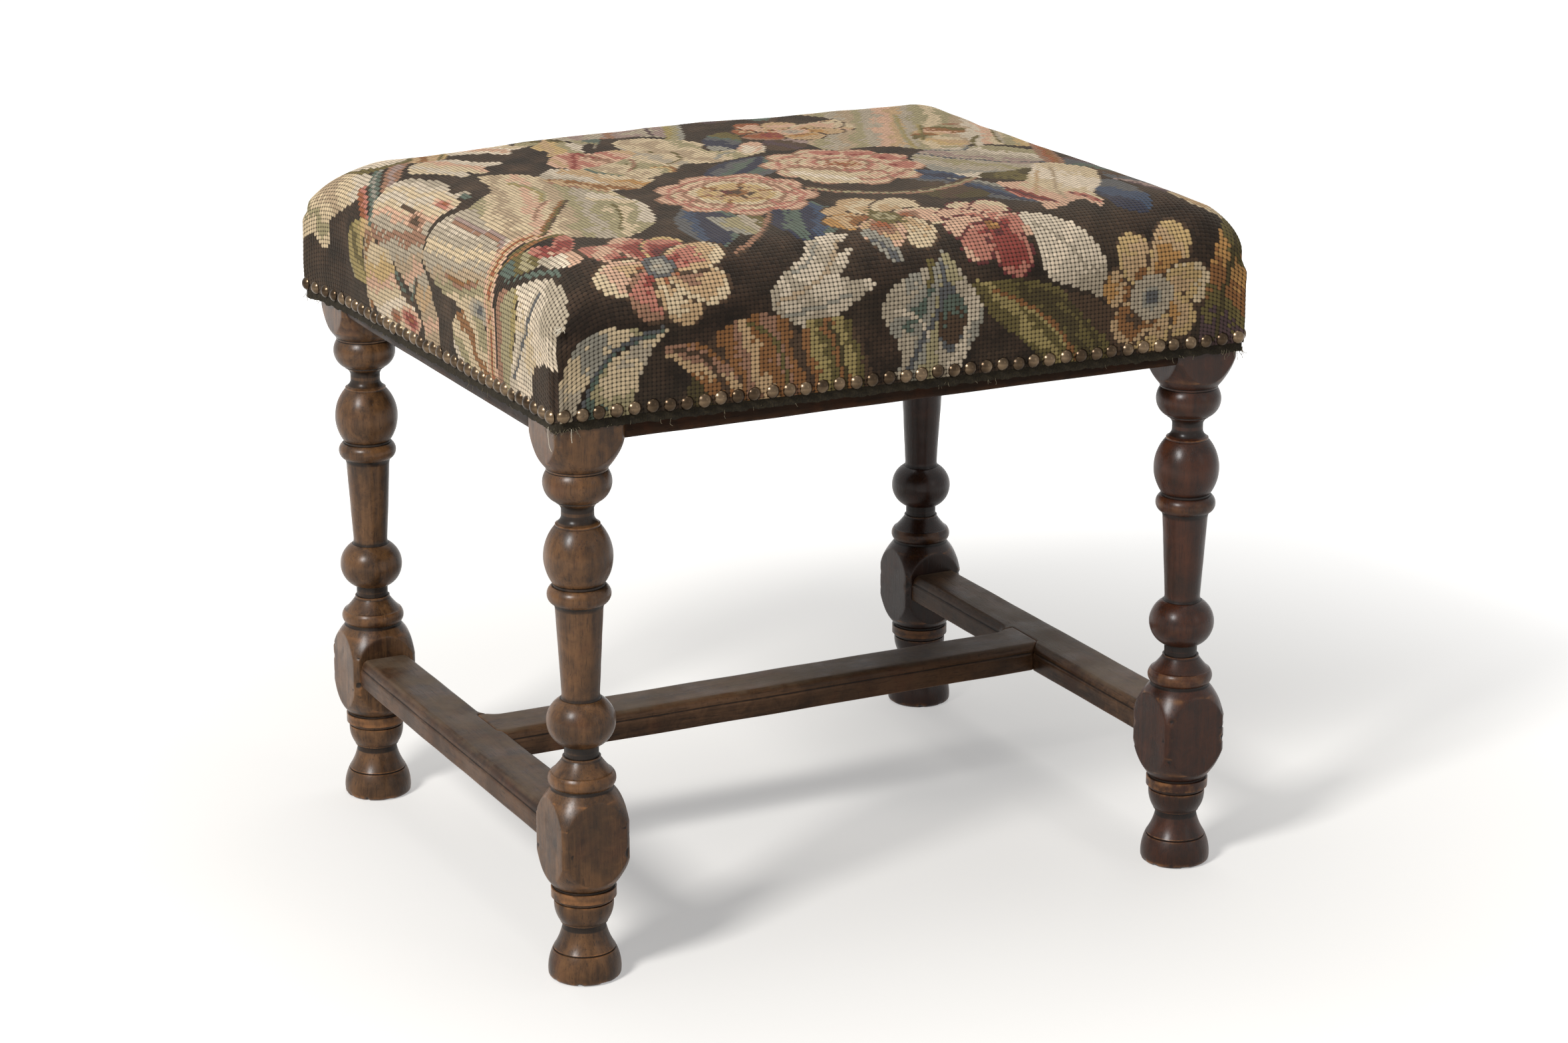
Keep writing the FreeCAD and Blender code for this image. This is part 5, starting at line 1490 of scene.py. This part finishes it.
def slab(middle, thickness):
    """A thin closed sheet round a grid of points, its rows along Y and its columns along X."""
    rows, columns = middle.shape[:2]
    lift = np.array([0, 0, thickness / 2])
    top, under = (middle + lift).reshape(-1, 3), (middle - lift).reshape(-1, 3)
    faces = grid_faces(rows, columns)
    faces += [tuple(corner + len(top) for corner in face[::-1]) for face in grid_faces(rows, columns)]
    number = np.arange(rows * columns).reshape(rows, columns)
    border = [*number[0, :-1], *number[:-1, -1], *number[-1, :0:-1], *number[:0:-1, 0]]
    faces += [(first + len(top), second + len(top), second, first)
              for first, second in zip(border, border[1:] + border[:1])]
    return np.concatenate([top, under]), faces


def strap_middles(count, span, width=50.0):
    """Middles of straps that share a span with even gaps."""
    gap = (span - count * width) / (count + 1)
    return [-span / 2 + gap + width / 2 + place * (gap + width) for place in range(count)]


web_thickness = 1.5
web_middle = rail_top + 1.8
web_sway = 0.9
rail_inner_x = frame_half_x - 29
rail_inner_y = frame_half_y - 29


def strap(name, middle, half, crossings, first_over, along_x_axis, material):
    """One strap of webbing that goes over and under the others and lies on the rails at its ends."""
    stations = [-half, -half + 11] + list(crossings) + [half - 11, half]
    levels = [-web_sway] * 2 + [web_sway * (1 if (number + first_over) % 2 else -1)
                                for number in range(len(crossings))] + [-web_sway] * 2
    long = np.linspace(-half, half, 130)
    place = np.interp(long, stations, np.arange(len(stations)))
    ease = place % 1
    ease = np.clip((ease - 0.5) * 2.2 + 0.5, 0, 1)
    ease = ease * ease * (3 - 2 * ease)
    level = np.interp(np.floor(place) + ease, np.arange(len(levels)), levels)
    across = middle + np.linspace(-25, 25, 11)
    if along_x_axis:
        y, x = np.meshgrid(across, long, indexing="ij")
        z = np.broadcast_to(level, x.shape)
    else:
        y, x = np.meshgrid(long, across, indexing="ij")
        z = np.broadcast_to(level[:, None], x.shape)
    grid = np.stack([x, y, z + web_middle], -1)
    points, faces = slab(grid, web_thickness)
    piece = new_piece(name, points, faces, material, ["webbing_long" if along_x_axis else "webbing_cross"])
    return piece


def under_seat():
    """Webbing, hessian base cloth and stitched edge roll."""
    jute = woven("webbing_jute", 0.0017, shade(166, 140, 100), shade(66, 50, 34), shade(128, 100, 66))
    hessian = woven("hessian", 0.0013, shade(158, 132, 94), shade(58, 44, 30), shade(120, 96, 66))
    long_middles = strap_middles(4, 2 * rail_inner_y)
    cross_middles = strap_middles(5, 2 * rail_inner_x)
    for number, middle in enumerate(long_middles):
        strap(f"webbing_long_{number + 1}", middle, rail_inner_x + 11, cross_middles, number, True, jute)
    for number, middle in enumerate(cross_middles):
        strap(f"webbing_cross_{number + 1}", middle, rail_inner_y + 11, long_middles, number + 1, False, jute)
    y, x = np.meshgrid(np.linspace(1 - frame_half_y + 15, frame_half_y - 16, 70),
                       np.linspace(1 - frame_half_x + 15, frame_half_x - 16, 84), indexing="ij")
    grid = np.stack([x, y, np.full(x.shape, rail_top + 4.05)], -1)
    points, faces = slab(grid, 0.7)
    cloth = new_piece("hessian_base_cloth", points, faces, hessian, ["base_cloth"])
    stitched_roll(hessian)


def stitched_roll(hessian):
    """Roll of hair in hessian round the rails' top, drawn in by its stitches."""
    def row(angle):
        cosine, sine = math.cos(angle), math.sin(angle)
        across = math.copysign(abs(cosine) ** 0.66, cosine)
        rise = math.copysign(abs(sine) ** 0.66, sine)
        level = rail_top + 8.6 + 8.2 * rise
        lean = (level - rail_top) / 17
        inset = 3.9 + (7.2 - 2.4 * lean) * (1 - across)

        def shape(places, outward):
            run = places[:, 0] - places[:, 1]
            pinch = np.abs(np.sin(run * math.pi / 19)) ** 0.5
            swell = (pinch - 0.8) * 0.6 * (0.5 + 0.5 * abs(across))
            return np.full(len(places), level) + ragged(places, 4.0, 14.0, 0.3), swell * np.sign(across) - 0.2
        return inset, 9.0, shape
    section = [row(angle) for angle in np.linspace(0, math.tau, 20, endpoint=False)]
    points, faces = ring_sweep(section, 3.2)
    piece = new_piece("stitched_edge_roll", points, faces, hessian, ["edge_roll"])


def solved_mesh(mesh, set_up, frames=()):
    """The mesh with modifiers applied, after it has run through some frames."""
    scene = bpy.context.scene
    copy = bpy.data.objects.new("raw", mesh)
    scene.collection.objects.link(copy)
    set_up(copy)
    for number in frames:
        scene.frame_set(number)
    solved = bpy.data.meshes.new_from_object(copy.evaluated_get(bpy.context.evaluated_depsgraph_get()))
    bpy.data.objects.remove(copy)
    return solved


def mesh_places(mesh, kind="co"):
    """Coordinates or normals of a mesh's points, as rows."""
    rows = np.zeros(len(mesh.vertices) * 3)
    mesh.vertices.foreach_get(kind, rows)
    return rows.reshape(-1, 3)


def voxels(copy):
    remesh = copy.modifiers.new("cut", "REMESH")
    remesh.mode = "VOXEL"
    remesh.voxel_size = 5 * millimetre


def blown(copy):
    cloth = copy.modifiers.new("puff", "CLOTH")
    cloth.settings.use_pressure = True
    cloth.settings.uniform_pressure_force = 4.0
    cloth.settings.effector_weights.gravity = 0.0
    cloth.point_cache.frame_end = 20


def finer(copy):
    copy.modifiers.new("round", "SUBSURF").levels = 1


pad_swell = 2.5 * millimetre


def hair_pad():
    """The hair pad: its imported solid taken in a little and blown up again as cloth."""
    mesh = solved_mesh(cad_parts["stuffing"].data.copy(), voxels)
    small = mesh_places(mesh) - mesh_places(mesh, "normal") * pad_swell
    mesh.vertices.foreach_set("co", small.ravel())
    mesh.update()
    mesh = solved_mesh(mesh, blown, range(1, 21))
    bpy.context.scene.frame_set(1)
    move = mesh_places(mesh) - small
    far = np.linalg.norm(move, axis=1, keepdims=True)
    mesh.vertices.foreach_set("co", (small + move * np.minimum(1, pad_swell / np.maximum(far, 1e-9))).ravel())
    mesh = solved_mesh(mesh, finer)
    piece = finish_piece("hair_pad", mesh, hair(), ["stuffing"], 180.0)
    return piece


# Stage, light and camera

def stage():
    """Pale floor that keeps the stool's shadow and shows white to the camera."""
    mesh = bpy.data.meshes.new("floor")
    reach = 14.0
    mesh.from_pydata([(-reach, -reach, 0), (reach, -reach, 0), (reach, reach, 0), (-reach, reach, 0)], [],
                     [(0, 1, 2, 3)])
    floor = bpy.data.objects.new("floor", mesh)
    bpy.context.scene.collection.objects.link(floor)
    material, graph, shader = new_material("pale_floor")
    rays = graph.node("LightPath").outputs
    seen = graph.math("MAXIMUM", rays["Is Camera Ray"], rays["Is Glossy Ray"])
    away = graph.node("VectorMath", {0: place_of(graph)}, operation="LENGTH").outputs["Value"]
    glow = graph.rise(away, 0.35, 1.3, 0.4, 1.0)
    feed(graph, shader, Base_Color=(0.66, 0.64, 0.605, 1.0), Roughness=0.9, Specular_IOR_Level=0.0,
         Emission_Color=(1.0, 1.0, 1.0, 1.0), Emission_Strength=graph.math("MULTIPLY", seen, glow))
    mesh.materials.append(material)


def soft_light(name, place, aim, size, power):
    """A large square lamp that looks at a point."""
    lamp = bpy.data.lights.new(name, "AREA")
    lamp.shape = "RECTANGLE"
    lamp.size, lamp.size_y = size
    lamp.energy = power
    made = bpy.data.objects.new(name, lamp)
    made.location = place
    made.rotation_euler = (Vector(aim) - Vector(place)).to_track_quat("-Z", "Y").to_euler()
    bpy.context.scene.collection.objects.link(made)


def light():
    """Even white surroundings with a big soft lamp on the left and a weaker one on the right."""
    world = bpy.data.worlds.new("studio")
    bpy.context.scene.world = world
    world.use_nodes = True
    graph = Graph(world.node_tree)
    background = world.node_tree.nodes["Background"]
    rays = graph.node("LightPath").outputs
    seen = graph.math("MAXIMUM", graph.math("MAXIMUM", rays["Is Camera Ray"], rays["Is Glossy Ray"]),
                      rays["Is Transmission Ray"])
    strength = graph.blend(seen, 0.07, 1.0)
    background.inputs["Color"].default_value = (1.0, 1.0, 1.0, 1.0)
    world.node_tree.links.new(strength, background.inputs["Strength"])
    soft_light("key", (-2.75, -1.4, 2.6), (0, 0, 0.3), (0.75, 0.95), 128.0)
    soft_light("fill", (1.6, -3.0, 1.5), (0, 0, 0.3), (0.8, 1.4), 4.0)
    soft_light("top", (0.2, 0.4, 3.2), (0, 0, 0.4), (2.0, 2.0), 38.0)


def camera():
    """The photograph's view of the stool."""
    lens = bpy.data.cameras.new("camera")
    lens.lens = 88.76
    lens.sensor_width = 36.0
    made = bpy.data.objects.new("camera", lens)
    made.location = (-1.2214, -2.4617, 1.0710)
    made.rotation_euler = (math.radians(90 - 16.834), 0, math.radians(-26.654))
    bpy.context.scene.collection.objects.link(made)
    bpy.context.scene.camera = made


hair_pad()
needlework_cover()
wool_tuft()
under_seat()
stage()
light()
camera()
bpy.context.scene.view_settings.view_transform = "Standard"
